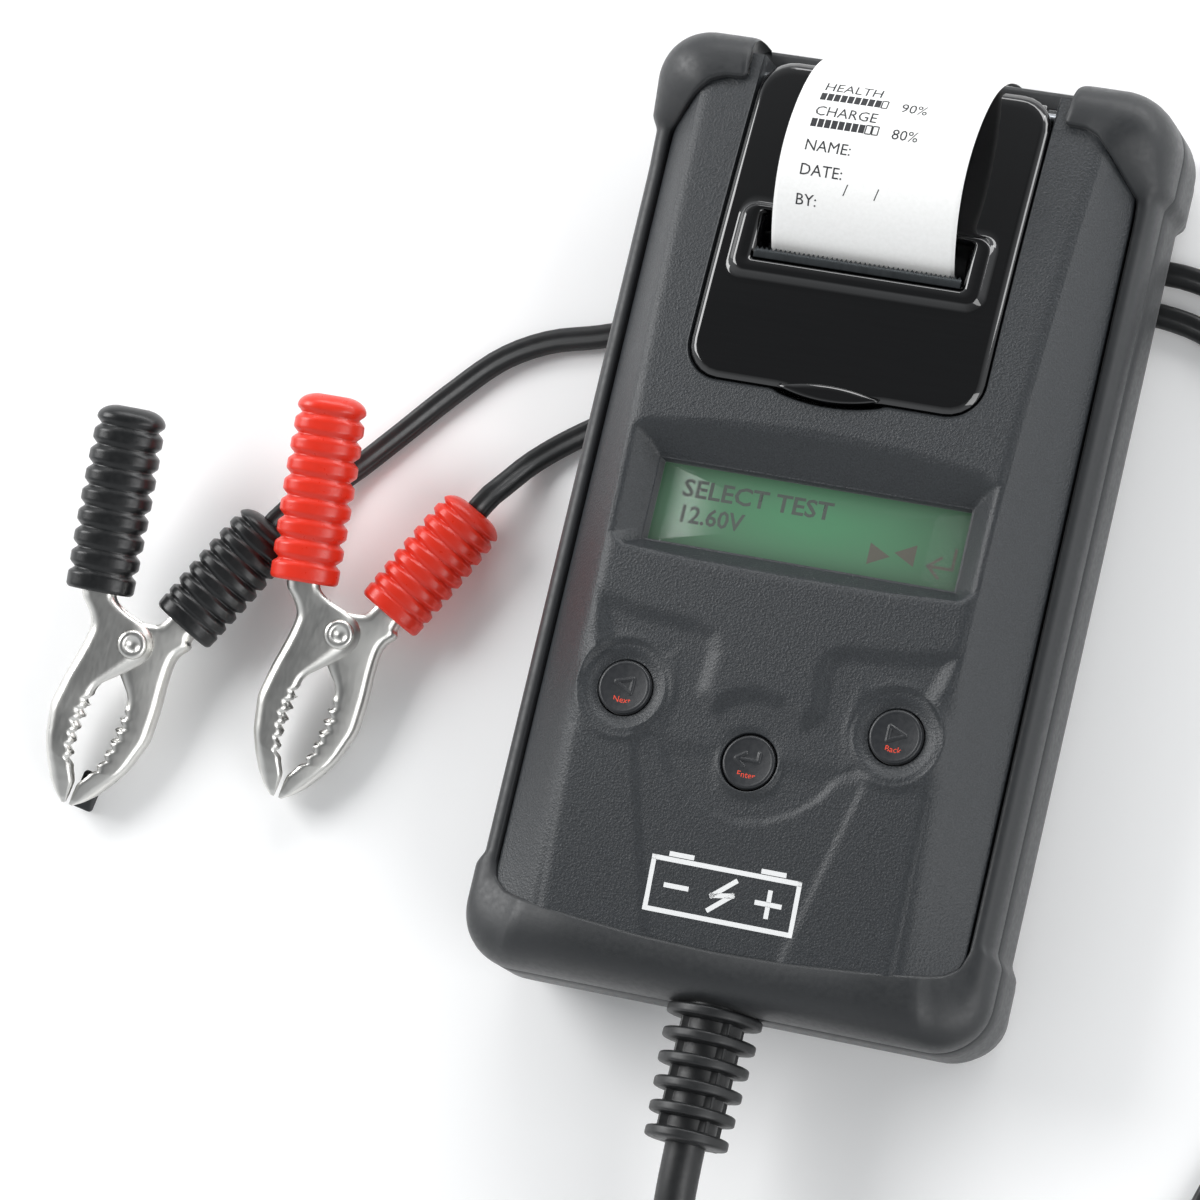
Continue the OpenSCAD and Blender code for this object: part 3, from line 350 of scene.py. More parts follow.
def splitter_mesh():
    """A flattened bullet along +Y: a superellipse section that widens from round to wide."""
    along = np.linspace(0, 1, 40)
    turn = np.linspace(0, 2 * np.pi, 40, endpoint=False)
    ease = along * along * (3 - 2 * along)
    round_off = np.clip(np.minimum(along, 1 - along) / 0.06, 0, 1)
    shrink = 0.80 + 0.20 * np.sqrt(1 - (1 - round_off) ** 2)
    half_w = (5.0 + 1.9 * ease) * shrink
    half_h = (5.0 - 1.3 * ease) * shrink
    c, s = np.cos(turn), np.sin(turn)
    power = 0.75
    x = (split_low[0] + split_high[0]) / 2 + half_w[:, None] * np.sign(c) * np.abs(c) ** power
    z = (5.0 - 0.9 * ease)[:, None] + half_h[:, None] * np.sign(s) * np.abs(s) ** power
    y = np.broadcast_to(split_low[1] + (split_high[1] - split_low[1]) * along[:, None], x.shape)
    points = np.stack([x, y, z], -1)
    ends = [points[:1].mean(1, keepdims=True), points[-1:].mean(1, keepdims=True)]
    points = np.concatenate([np.repeat(ends[0], 40, 1), points,
        np.repeat(ends[1], 40, 1)], 0)
    return points * MM, quads(42, 40, close_columns=True)


splitter = skin("y_splitter_block", *splitter_mesh(), cable_pvc)
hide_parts("y_splitter")
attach(splitter, "tester")

# --- Flat leads -----------------------------------------------------------------------
# Two flat twin leads, each with a drive wire and a sense wire side by side in one skin.
# They run up the right side, pass under the tester between its rubber bars, and end in
# the short grips of the clamps.
lead_w, lead_t = 5.0, 3.0
lead_routes = {
    "black": [[101, -129.5, 4], [101, -128, 4], [105, -112, 2.2], [111, -94, 1.6],
        [112, -76, 1.6], [109, -58, 1.6], [104, -38, 1.6], [99, -18, 1.6], [94, 2, 1.6],
        [90, 20, 1.6], [86, 38, 1.6], [80, 53, 1.6], [70, 64, 1.6], [56, 69, 1.6],
        [40, 69, 1.6], [20, 66, 1.6], [0, 60, 1.6], [-22, 53, 1.6], [-44, 45, 1.6],
        [-64, 38, 1.6], [-75, 35, 1.6], [-84, 30, 1.6], [-93, 21, 1.6], [-103, 9.5, 1.6],
        [-111, 0, 2.6], [-117, -7, 6], [-120.4, -11.5, 8.6], [-123, -16, 8.9]],
    "red": [[95, -129.5, 4], [95, -128, 4], [98, -112, 2.2], [104, -94, 1.6], [105, -76, 1.6],
        [102, -58, 1.6], [97, -38, 1.6], [92, -18, 1.6], [87, 2, 1.6], [83, 20, 1.6],
        [79, 35, 1.6], [73, 48, 1.6], [64, 57, 1.6], [52, 60.5, 1.6], [38, 60, 1.6],
        [20, 55, 1.6], [0, 47, 1.6], [-20, 38, 1.6], [-40, 29, 1.6], [-55, 22, 1.6],
        [-65, 15.5, 1.6], [-72, 9, 2.8], [-75.5, 3, 6], [-77.7, -0.6, 7.6], [-80.2, -5.2, 7.8]],
}


def twin_lead(path):
    """Two round wires side by side in one skin: a tube whose section is a flat oval with a
    shallow valley along the middle of each broad face."""
    points, faces = sock(path, lead_w * MM, lead_t * MM, 28)
    rings = points.reshape(-1, 28, 3)
    turn = np.linspace(0, 2 * np.pi, 28, endpoint=False)
    middle = rings.mean(1, keepdims=True)
    waist = 1 - 0.30 * np.exp(-(np.cos(turn) / 0.28) ** 2)
    full = 1 + 0.16 * np.exp(-((np.abs(np.cos(turn)) - 0.62) / 0.25) ** 2)
    return middle + (rings - middle) * (waist * full)[None, :, None], faces


lead_paths = {name: smooth_path(route, 0.003) for name, route in lead_routes.items()}
leads = {}
for name, path in lead_paths.items():
    leads[name] = skin("lead_to_%s_clamp" % name, *twin_lead(path), cable_pvc)
    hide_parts("lead_" + name)
    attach(leads[name], "tester")

# --- Rear half of the tester -------------------------------------------------------------
# A black ABS shell under a rubber boot. The boot is moulded over the shell and thickens
# into a bar across the back at each end, which keeps the shell off the table.
# The groove where the two boots meet runs round the tester at the parting line.
seam_z = 25.0
body_half, side_half, end_half = 54.5, 53.0, 97.0


def rim(q):
    """Place on the case's outline, in millimetres, a distance q from the middle of the bottom
    end: straight, a quarter circle, the side, a quarter circle, and along the top end. The
    outline is 1.5 mm wider over the last 20 mm of each end."""
    r = 11.0
    bottom, arc, side = side_half - r, np.pi / 2 * r, 2 * (end_half - r)
    a = np.clip((q - bottom) / r, 0, np.pi / 2)
    b = np.clip((q - bottom - arc - side) / r, 0, np.pi / 2)
    along = np.clip(q - bottom - arc, 0, side)
    beyond = np.clip(q - bottom - 2 * arc - side, 0, None)
    x = np.minimum(q, bottom) + r * np.sin(a) - r * (1 - np.cos(b)) - beyond
    y = -end_half + r * (1 - np.cos(a)) + along + r * np.sin(b)
    bulge = np.clip((np.abs(y) - 75.2) / 3.6, 0, 1)
    bulge = bulge * bulge * (3 - 2 * bulge)
    return x * (1 + (body_half - side_half) / side_half * bulge), y


# Thermoplastic elastomer, IOR 1.5: satin, with a very fine grain.
def rubber_of(name, code, roughness):
    """Overmoulded rubber of a colour."""
    material = soft_pvc(name, code, roughness)
    tree = material.node_tree
    shader = tree.nodes["Principled BSDF"]
    shader.inputs["Sheen Weight"].default_value = 0.12
    shader.inputs["Sheen Roughness"].default_value = 0.4
    return material


boot_rubber = rubber_of("overmoulded_rubber", "#27292b", 0.46)
quarter = np.linspace(0, np.pi / 2, 7)
round_q = np.unique(np.concatenate([np.linspace(0, 42, 15), np.linspace(42, 60, 19),
    np.linspace(60, 78, 25), np.linspace(78, 213, 46), np.linspace(213, 231, 25),
    np.linspace(231, 249, 19), np.linspace(249, 249 + 42, 15)]))


def rear_boot_mesh():
    """One closed band swept round the outline. Each section goes from the groove at the
    parting line down the side, round under the bar or the side, and up inside to the shell."""
    x, y = rim(round_q)
    inward = np.stack([-np.sign(x) * np.clip((np.abs(x) - 40) / 10, 0, 1),
        -np.sign(y) * np.clip((np.abs(y) - 84) / 10, 0, 1)], 1)
    inward /= np.maximum(np.linalg.norm(inward, axis=1), 1e-9)[:, None]
    foot = np.clip((np.abs(y) - 75.5) / 4.0, 0, 1)
    base = 4.0 * (1 - foot * foot * (3 - 2 * foot))
    ix, iy = np.clip(x, -44.5, 44.5), np.clip(y, -74.5, 74.5)
    rows = []
    for depth, z in [(3.6, seam_z - 0.1), (0.9, seam_z - 0.1), (0.35, seam_z - 0.25),
            (0.0, seam_z - 0.8), (0.0, 20.0), (0.0, 14.0), (0.25, 11.5), (1.0, 8.6)]:
        rows.append(np.stack([x + inward[:, 0] * depth, y + inward[:, 1] * depth,
            np.full_like(x, z)], 1))
    for angle in quarter:
        depth = 1.6 + 3.4 * (1 - np.cos(angle))
        z = base + (7.6 - base) * (1 - np.sin(angle))
        rows.append(np.stack([x + inward[:, 0] * depth, y + inward[:, 1] * depth, z], 1))
    inner = np.stack([ix, iy, base], 1)
    outer = rows[-1].copy()
    for t in (0.5, 0.92):
        rows.append(outer * (1 - t) + inner * t)
    rows.append(inner + np.stack([-np.sign(ix) * (abs(ix) > 44) * 0.6, -np.sign(iy) * (abs(iy) > 74)
        * 0.6, np.full_like(ix, 0.5)], 1))
    rows.append(np.stack([ix * 0.985, iy * 0.985, np.full_like(ix, 6.0)], 1))
    half = np.stack(rows, 1)
    other = half[::-1] * [-1, 1, 1]
    ring = np.concatenate([half[:-1], other[:-1]])
    return ring * MM, quads(len(ring), len(rows), close_rows=True)


rear_band = skin("rear_boot_band", *rear_boot_mesh(), boot_rubber)
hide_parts("rear_boot")
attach(rear_band, "tester")

# --- Front panel --------------------------------------------------------------------------
# The front half is one moulding in charcoal ABS with a coarse spark texture. Its crowned
# plateau has steep facets at the sides, a recess for the display, a sunk mask round the
# three keys and an opening for the printer's lid.
well_at = [(-28.0, -40.0, 9.4), (28.0, -40.0, 9.4), (0.0, -50.0, 6.9)]
key_r, bore_r = 5.4, 5.72
lcd_low, lcd_high, lcd_half = -9.45, 6.95, 32.25
opening_half, opening_front, opening_r = 31.0, 23.25, 7.5
edge_half, edge_height = 48.5, 32.0


def crown(y):
    """Height of the crowned plateau, a flat arc of radius 580 mm."""
    return 45.0 - (np.asarray(y, float) - 8) ** 2 / 1160


def plateau(y):
    """Half the width of the plateau: it narrows from the printer to the bottom."""
    y = np.asarray(y, float)
    return 38.5 + y * np.where(y > 0, 0.045, 0.018)


def opening(x):
    """Front edge of the lid's opening at x: straight, with round corners and a bay for the
    thumb tab."""
    x = np.abs(np.asarray(x, float))
    corner = np.clip(x - (opening_half - opening_r), 0, opening_r)
    y = opening_front + opening_r - np.sqrt(opening_r**2 - corner**2)
    tab = 61.75 - np.sqrt(40.5**2 - np.clip(x, 0, 11.7) ** 2)
    blend = np.clip((12.4 - x) / 1.6, 0, 1)
    return y + (np.minimum(y, tab) - y) * blend


def smooth_step(t):
    """Zero to one with level ends."""
    t = np.clip(t, 0, 1)
    return t * t * (3 - 2 * t)


def depth_in(outline, x, y):
    """Distance from each point to a closed outline, positive inside it."""
    best = np.full(x.shape, 1e9)
    inside = np.zeros(x.shape, bool)
    n = len(outline)
    for i in range(n):
        (ax, ay), (bx, by) = outline[i], outline[(i + 1) % n]
        ex, ey = bx - ax, by - ay
        t = np.clip(((x - ax) * ex + (y - ay) * ey) / (ex * ex + ey * ey), 0, 1)
        best = np.minimum(best, np.hypot(x - ax - t * ex, y - ay - t * ey))
        cross = (ay > y) != (by > y)
        with np.errstate(divide="ignore", invalid="ignore"):
            inside ^= cross & (x < ax + (y - ay) * ex / (ey if ey else 1e-9))
    return np.where(inside, best, -best)


mask_half = [(0, -36.3), (5, -37.0), (9.2, -40.2), (11.4, -38), (10.8, -30), (12, -26.6),
    (16, -25.2), (28, -24.3), (37.5, -22.4), (34.1, -31.4), (30, -40), (24.2, -48.4),
    (18, -51.2), (15.2, -55.0), (10.5, -58.7), (5.5, -61.0), (0, -61.8)]
mask_line = mask_half + [(-x, y) for x, y in mask_half[-2:0:-1]]
funnel_line = [(-24.5, -48), (24.5, -48), (12.5, -92), (-12.5, -92)]
recess_line = [(-37.75, lcd_low - 0.8), (-37.75, 11.6), (-34.5, 13.2), (-20, 14.9), (0, 15.8),
    (20, 14.9), (34.5, 13.2), (37.75, 11.6), (37.75, lcd_low - 0.8), (34.5, -12.2),
    (20, -13.0), (0, -13.25), (-20, -13.0), (-34.5, -12.2)]


def panel_height(x, y):
    """Height of the panel's moulded face in millimetres."""
    top = crown(y)
    half = plateau(y)
    over = np.abs(x) - half
    facet = top - (top - edge_height) * np.clip(over / (edge_half - half), 0, 1)
    z = np.where(over > 0, facet, top)
    z = z - 0.55 * np.exp(-(np.abs(over) / 0.9) ** 1.5)
    sunk = depth_in(mask_line, x, y)
    wide = np.interp(y, [-54, -46], [0.8, 3.8])
    deep = np.interp(y, [-60, -42], [0.35, 0.85])
    z = z - deep * smooth_step((sunk + 0.35 * wide) / wide)
    z = z - 0.35 * smooth_step((depth_in(funnel_line, x, y) + 0.8) / 1.8) * smooth_step(
        (-47 - y) / 5)
    wall = depth_in(recess_line, x, y)
    flat_in = np.maximum(np.abs(x) - lcd_half - 0.4, np.maximum(lcd_low - 0.4 - y,
        y - lcd_high - 0.4))
    away = np.clip(flat_in, 0, None)
    part = wall / np.maximum(wall + away, 1e-6)
    fall = np.clip(part, 0, 1) * (wall > 0)
    z = z - (z - 40.0) * fall
    z = z - 0.22 * np.exp(-(wall / 0.55) ** 2)
    z = np.where(flat_in <= -0.35, 36.2, z)
    for wx, wy, r in well_at:
        away = np.hypot(x - wx, y - wy)
        level = crown(wy) - 0.5
        lip = r - 1.0
        dish = level - 0.9 * (1 - smooth_step((away - bore_r) / (lip - bore_r)))
        t = smooth_step((away - lip) / 1.4)
        ring = 0.30 * np.exp(-((away - r - 0.5) / 0.55) ** 2)
        z = np.where(away < r + 2.5, dish * (1 - t) + z * t + ring * (abs(wx) > 1), z)
        z = np.where(away < bore_r - 0.05, level - 7.0, z)
    return z


def spread(*spans):
    """Grid lines: for each span, its start, end and spacing."""
    return np.unique(np.round(np.concatenate([
        np.linspace(a, b, max(int(round((b - a) / step)), 1) + 1) for a, b, step in spans]), 4))


def panel_mesh():
    """The face as a grid of X lines by Y rows. Near each key the square rings of the grid are
    pressed into circles, so the rims and bores run along grid lines. Rows under the lid's
    opening follow its front edge, and a skirt and the opening's walls hang from the border."""
    rings = np.array([0.0, 3.0, bore_r - 0.1, bore_r, bore_r + 0.12])
    side = spread((14.2, 34, 0.68), (37.2, 38.2, 0.25), (31.9, 32.8, 0.15))
    side = np.concatenate([side, 28 + np.concatenate([-rings, rings]),
        28 + np.array([-9.4, -8.4, 8.4])])
    arc_x = opening_half - opening_r * (1 - np.sin(np.linspace(0, np.pi / 2, 12)))
    middle = np.concatenate([spread((0, 14.2, 0.7)), rings, [6.9, 5.9, 11.7, 12.4]])
    fixed = np.unique(np.round(np.concatenate([middle, side[side <= 34], arc_x]), 3))
    fixed = fixed[np.concatenate([[True], np.diff(fixed) > 0.045])]
    if not np.any(np.isclose(fixed, opening_half)):
        fixed[np.argmin(np.abs(fixed - opening_half))] = opening_half
    y_low = spread((-91.0, -84, 0.5), (-84, -62, 0.8), (-62, -22, 0.66), (-22, -13.6, 0.8),
        (-13.6, -12, 0.28), (-12, -10, 0.5), (-10.1, -9.2, 0.15), (-9, 6.6, 0.9), (6.6, 7.5, 0.15),
        (7.5, 11, 0.7), (11, 16.4, 0.3))
    y_low = np.concatenate([y_low, -40 + np.concatenate([-rings, rings]), -40 + np.array([-9.4,
        -8.4, 8.4, 9.4]), -50 + np.concatenate([-rings, rings]), -50 + np.array([-6.9, -5.9, 5.9,
        6.9])])
    y_low = np.unique(np.round(y_low, 3))
    y_low = y_low[np.concatenate([[True], np.diff(y_low) > 0.045])]
    beyond = np.concatenate([np.linspace(0, 1, 9)[1:] * 0.86, [0.93, 0.975]])
    facet = np.array([0.0, 0.03, 0.075, 0.14, 0.3, 0.5, 0.7, 0.88, 0.955, 1.0])
    columns = len(fixed) + len(beyond) + len(facet)

    def line_x(y):
        """X of each line at one row."""
        half = plateau(y)
        out = 34 + (half - 34) * beyond
        return np.concatenate([fixed, out, half + (edge_half - half) * facet])

    right = np.array([line_x(y) for y in y_low])
    t_rows = np.linspace(0, 1, 14)[1:]
    start = y_low[-1]
    last_y = np.where(np.arange(columns) < np.sum(fixed <= opening_half + 1e-6),
        opening(np.minimum(line_x(24.0), opening_half)), opening_front + opening_r)
    turned = np.array([start + (last_y - start) * t for t in t_rows])
    up = spread((opening_front + opening_r, 92.0, 1.4))[1:]
    y_all = np.vstack([np.repeat(y_low[:, None], columns, 1), turned,
        np.repeat(up[:, None], columns, 1)])
    x_half = np.vstack([right, [line_x(row.mean()) for row in turned],
        [line_x(y) for y in up]])
    x = np.hstack([-x_half[:, :0:-1], x_half])
    y = np.hstack([y_all[:, :0:-1], y_all])
    for wx, wy, r in well_at:
        dx, dy = x - wx, y - wy
        square = np.maximum(np.abs(dx), np.abs(dy))
        away = np.hypot(dx, dy)
        reach = r + 1.4
        pull = 1 - smooth_step((square - r - 0.2) / (reach - r))
        factor = 1 + pull * (square / np.maximum(away, 1e-9) - 1)
        factor = np.where(square < reach + 0.2, factor, 1)
        x, y = wx + dx * factor, wy + dy * factor
    z = panel_height(x, y)
    drop = np.clip((-87.2 - y) / 3.8, 0, 1)
    z = z - (z - 30) * drop**1.6
    rows, wide = x.shape
    faces = quads(rows, wide)
    column = faces[:, 0] % wide
    row = faces[:, 0] // wide
    centre_line = (wide - 1) // 2
    reach = np.sum(fixed <= opening_half + 1e-6) - 1
    above = len(y_low) + len(t_rows) - 1
    open_here = (row >= above) & (column >= centre_line - reach) & (column < centre_line + reach)
    faces = faces[~open_here]
    grid = np.arange(rows * wide).reshape(rows, wide)
    points = np.stack([x, y, z], -1).reshape(-1, 3)
    border = np.concatenate([grid[above + 1:, centre_line - reach][::-1],
        grid[above, centre_line - reach : centre_line + reach + 1],
        grid[above + 1:, centre_line + reach]])
    outer = np.concatenate([grid[::-1, 0], grid[0, 1:], grid[1:, -1]])
    parts, sets = [points], [faces]
    count = len(points)
    for loop, inward, falls in ((border, 0.25, (0.35, 3.0, 12.0)), (outer, 0.0, (0.5, 6.5))):
        edge = points[loop]
        ahead = np.gradient(edge[:, :2], axis=0)
        ahead /= np.maximum(np.linalg.norm(ahead, axis=1), 1e-9)[:, None]
        sign = 1 if loop is border else -1
        side_way = np.stack([-ahead[:, 1], ahead[:, 0]], 1) * sign
        hang = [edge]
        for fall in falls:
            ring = edge.copy()
            ring[:, :2] += side_way * inward
            ring[:, 2] -= fall
            ring[:, 2] = np.maximum(ring[:, 2], 25.2)
            hang.append(ring)
        n = len(loop)
        ids = [loop] + [count + k * n + np.arange(n) for k in range(len(falls))]
        for a, b in zip(ids, ids[1:]):
            sets.append(np.stack([a[:-1], b[:-1], b[1:], a[1:]], -1))
        parts.extend(hang[1:])
        count += n * len(falls)
    points = np.vstack(parts)
    faces = np.concatenate(sets)
    used, faces = np.unique(faces, return_inverse=True)
    return points[used] * MM, faces.reshape(-1, 4)


# Charcoal ABS, IOR 1.53, with a spark-eroded grain about 0.4 mm across and a dull glaze.
def spark_abs(name, code, roughness, grain):
    """Moulded ABS with the pebbled grain of a spark-eroded mould."""
    material, tree, shader = finish_of(name, IOR=1.53, Roughness=roughness)
    where = add(tree, "ShaderNodeTexCoord").outputs["Object"]
    pebble = add(tree, "ShaderNodeTexNoise", {"Vector": where, "Scale": 1000.0 / grain,
        "Detail": 3.0, "Roughness": 0.62})
    pits = add(tree, "ShaderNodeTexVoronoi", {"Vector": where, "Scale": 700.0 / grain},
        feature="SMOOTH_F1")
    both = add(tree, "ShaderNodeMath", {0: pebble.outputs["Fac"], 1: pits.outputs["Distance"]},
        operation="ADD")
    bump = add(tree, "ShaderNodeBump", {"Height": both.outputs[0], "Strength": 0.40,
        "Distance": 0.00022})
    tree.links.new(bump.outputs["Normal"], shader.inputs["Normal"])
    base = np.array(linear(code))[:3]
    tone = add(tree, "ShaderNodeValToRGB", {"Fac": pebble.outputs["Fac"]})
    tone.color_ramp.elements[0].position = 0.32
    tone.color_ramp.elements[1].position = 0.70
    tone.color_ramp.elements[0].color = (*(base * 0.62), 1)
    tone.color_ramp.elements[1].color = (*(base * 1.45), 1)
    tree.links.new(tone.outputs["Color"], shader.inputs["Base Color"])
    gloss = add(tree, "ShaderNodeMapRange", {"Value": pits.outputs["Distance"], "To Min":
        roughness + 0.08, "To Max": roughness - 0.08})
    tree.links.new(gloss.outputs["Result"], shader.inputs["Roughness"])
    return material


charcoal_abs = spark_abs("charcoal_spark_abs", "#2b2e31", 0.42, 0.30)
panel = skin("front_panel_face", *panel_mesh(), charcoal_abs)
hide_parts("front_case")
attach(panel, "tester")

# The sill of the moulding under the lid's hinge edge.
sill_profile = np.array([[88.0, 25.2], [88.0, 29.6], [88.4, 30.0], [91.4, 30.0], [91.9, 29.5],
    [91.9, 25.2]])
sill_x = np.linspace(-33.5, 33.5, 12)
sill_points = np.stack([np.repeat(sill_x, 6), np.tile(sill_profile[:, 0], 12),
    np.tile(sill_profile[:, 1], 12)], 1)
sill = skin("front_panel_sill", sill_points * MM, quads(12, 6), charcoal_abs)
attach(sill, "tester")

# --- Front boot ------------------------------------------------------------------------------
# Softer, smooth rubber round the front half: a narrow band down each side, a rolled bumper
# across the bottom, and a cushion over each top corner.
inner_keys = np.array([[0, 0, -87.0], [15, 15, -86.6], [30, 30, -85.4], [42, 41, -83.9],
    [48, 45.4, -82.6], [53.5, 48.0, -80.4], [59.3, 49, -77.0], [71.3, 49, -74],
    [217.3, 49, 72], [221.3, 48.8, 75.3], [227, 46.8, 77.6], [236, 43.4, 81.8],
    [243, 40.4, 84.8], [248.6, 37.6, 86.0], [257.6, 33, 86.2]])
boot_q = np.unique(np.concatenate([np.linspace(0, 42, 22), np.linspace(42, 60, 25),
    np.linspace(60, 76, 22), np.linspace(76, 213, 60), np.linspace(213, 231, 31),
    np.linspace(231, 248.6, 25), np.linspace(248.6, 257.6, 15)]))


def front_boot_mesh():
    """A band swept from one top cushion round the bottom to the other. Its section rises at
    the panel in a small roll, then falls to the parting line along a superellipse."""
    ox, oy = rim(boot_q)
    soft = np.ones(9) / 9
    fine = np.linspace(-6, 263.6, 1200)
    ix, iy = (np.interp(fine, inner_keys[:, 0], inner_keys[:, k]) for k in (1, 2))
    ix, iy = (np.convolve(np.pad(v, 4, mode="edge"), soft, "valid") for v in (ix, iy))
    ix, iy = np.interp(boot_q, fine, ix), np.interp(boot_q, fine, iy)
    under = np.where(ix > edge_half, edge_height, panel_height(np.minimum(ix, edge_half), iy))
    under = np.where(boot_q < 60, np.maximum(under, edge_height), under)
    under = np.convolve(np.pad(under, 4, mode="edge"), soft, "valid")
    lip = np.interp(boot_q, [0, 56, 62, 214, 222, 232, 258], [0.5, 0.5, 0.4, 0.4, 1.1, 1.6, 1.6])
    top = under + lip
    flat = np.interp(boot_q, [0, 60, 212, 224, 258], [2.7, 2.4, 2.4, 3.1, 3.1])
    end = np.sqrt(np.clip(1 - np.clip((boot_q - 255.4) / 2.2, 0, 1) ** 2, 0, 1))
    away = np.stack([ox - ix, oy - iy], 1)
    rows = []
    for level, out in ((-3.2, 0.0), (-0.9, 0.0), (-0.45, 0.10), (-0.14, 0.35), (0.0, 0.8)):
        shift = away / np.linalg.norm(away, axis=1)[:, None] * out
        rows.append(np.stack([ix + shift[:, 0], iy + shift[:, 1], top + level], 1))
    rows[0][:, 2] = seam_z + 0.9
    start = rows[-1]
    for t in np.linspace(0, np.pi / 2, 15)[1:]:
        h = np.sin(t) ** (2 / flat)
        v = np.cos(t) ** (2 / flat) if t < 1.57 else np.zeros_like(flat)
        x = start[:, 0] + (ox - start[:, 0]) * h
        y = start[:, 1] + (oy - start[:, 1]) * h
        rows.append(np.stack([x, y, seam_z + 0.9 + (top - seam_z - 0.9) * v], 1))
    for inset, z in ((0.0, seam_z + 0.8), (0.35, seam_z + 0.25), (0.9, seam_z + 0.1),
            (3.6, seam_z + 0.1)):
        back = away / np.linalg.norm(away, axis=1)[:, None] * inset
        rows.append(np.stack([ox - back[:, 0], oy - back[:, 1], np.full_like(ox, z)], 1))
    half = np.stack(rows, 1)
    core = half.mean(1, keepdims=True)
    half = core + (half - core) * (0.86 + 0.14 * end)[:, None, None]
    half[..., 2] = np.maximum(half[..., 2], seam_z + 0.1)
    whole = np.concatenate([(half * [-1, 1, 1])[:0:-1], half])
    n = len(rows)
    faces = quads(len(whole), n)
    ends = [whole[0].mean(0), whole[-1].mean(0)]
    count = len(whole) * n
    ring = np.arange(n)
    last = (len(whole) - 1) * n
    cap_a = np.stack([ring, np.full(n, count), (ring + 1) % n], 1)
    cap_b = np.stack([last + ring, last + (ring + 1) % n, np.full(n, count + 1)], 1)
    closing = np.stack([np.arange(len(whole) - 1) * n + n - 1, np.arange(1, len(whole)) * n
        + n - 1, np.arange(1, len(whole)) * n, np.arange(len(whole) - 1) * n], 1)
    points = np.vstack([whole.reshape(-1, 3), ends])
    return points * MM, [faces[:, ::-1], closing[:, ::-1], cap_a, cap_b]


front_band = skin("front_boot_band", *front_boot_mesh(), boot_rubber)
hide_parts("front_boot")
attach(front_band, "tester")

# --- Battery pictogram --------------------------------------------------------------------
# Plain white ink pad-printed below the keys: a battery outline with its two poles.
def pressed(name, flat, height_at, lift, material, body, thick=0.02):
    """A flat pattern of points and faces laid on a surface: every corner is dropped to the
    surface's height at its own X and Y, plus a lift in millimetres."""
    xy, faces = flat
    xy = np.asarray(xy, float)
    z = height_at(xy[:, 0], xy[:, 1]) + lift
    obj = skin(name, np.column_stack([xy, z]) * MM, faces, material, smooth=False)
    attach(obj, body)
    return obj


def strokes(lines, width, step=0.5):
    """Flat ribbons of a width along polylines of points, cut in short steps."""
    points, faces = [], []
    for line in lines:
        line = np.asarray(line, float)
        for a, b in zip(line, line[1:]):
            n = max(int(np.ceil(np.linalg.norm(b - a) / step)), 1)
            along = (b - a) / np.linalg.norm(b - a)
            side = np.array([-along[1], along[0]]) * width / 2
            mid = a - along * width / 2 + np.linspace(0, 1, n + 1)[:, None] * (
                b - a + along * width)
            base = sum(len(p) for p in points)
            points.append(np.stack([mid - side, mid + side], 1).reshape(-1, 2))
            faces.append(quads(n + 1, 2)[:, ::-1] + base)
    return np.vstack(points), np.vstack(faces)


white_ink, tree, shader = finish_of("white_pad_print", Roughness=0.5)
shader.inputs["Base Color"].default_value = linear("#e9eaea")
pictogram = [
    [[-15, -81.3], [15, -81.3], [15, -71.3], [-15, -71.3], [-15, -81.3]],
    [[-11.6, -70.2], [-7.4, -70.2]], [[7.4, -70.2], [11.6, -70.2]],
    [[-11.6, -76.3], [-7.4, -76.3]],
    [[7.2, -76.3], [11.8, -76.3]], [[9.5, -78.6], [9.5, -74.0]],
    [[2.2, -73.2], [-2.0, -76.6], [2.0, -76.0], [-2.2, -79.4]],
]
pressed("battery_pictogram", strokes(pictogram, 0.95), panel_height, 0.05, white_ink, "tester")

# --- Display --------------------------------------------------------------------------------
# A character display behind a clear acrylic window, lit from its edge: the green field is
# brightest in the middle. The dark segments stand a little above the lit layer.
lens_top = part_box("lcd_window")[1][2] / MM
glass_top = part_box("lcd_glass")[1][2] / MM
lcd_mid = -1.25

lit_cell, tree, shader = finish_of("backlit_display_cell", Roughness=0.3)
where = add(tree, "ShaderNodeTexCoord").outputs["Object"]
spot = add(tree, "ShaderNodeMapping", {"Vector": where, "Location": (0.004, 0.0012, 0),
    "Scale": (24.0, 78.0, 0)})
length_node = add(tree, "ShaderNodeVectorMath", {0: spot.outputs["Vector"]}, operation="LENGTH")
field = add(tree, "ShaderNodeValToRGB", {"Fac": length_node.outputs["Value"]})
field.color_ramp.elements[0].color = linear("#0e5f34")
field.color_ramp.elements[1].color = linear("#143d20")
field.color_ramp.elements[0].position = 0.15
field.color_ramp.elements[1].position = 1.0
tree.links.new(field.outputs["Color"], shader.inputs["Base Color"])
tree.links.new(field.outputs["Color"], shader.inputs["Emission Color"])
shader.inputs["Emission Strength"].default_value = 0.45


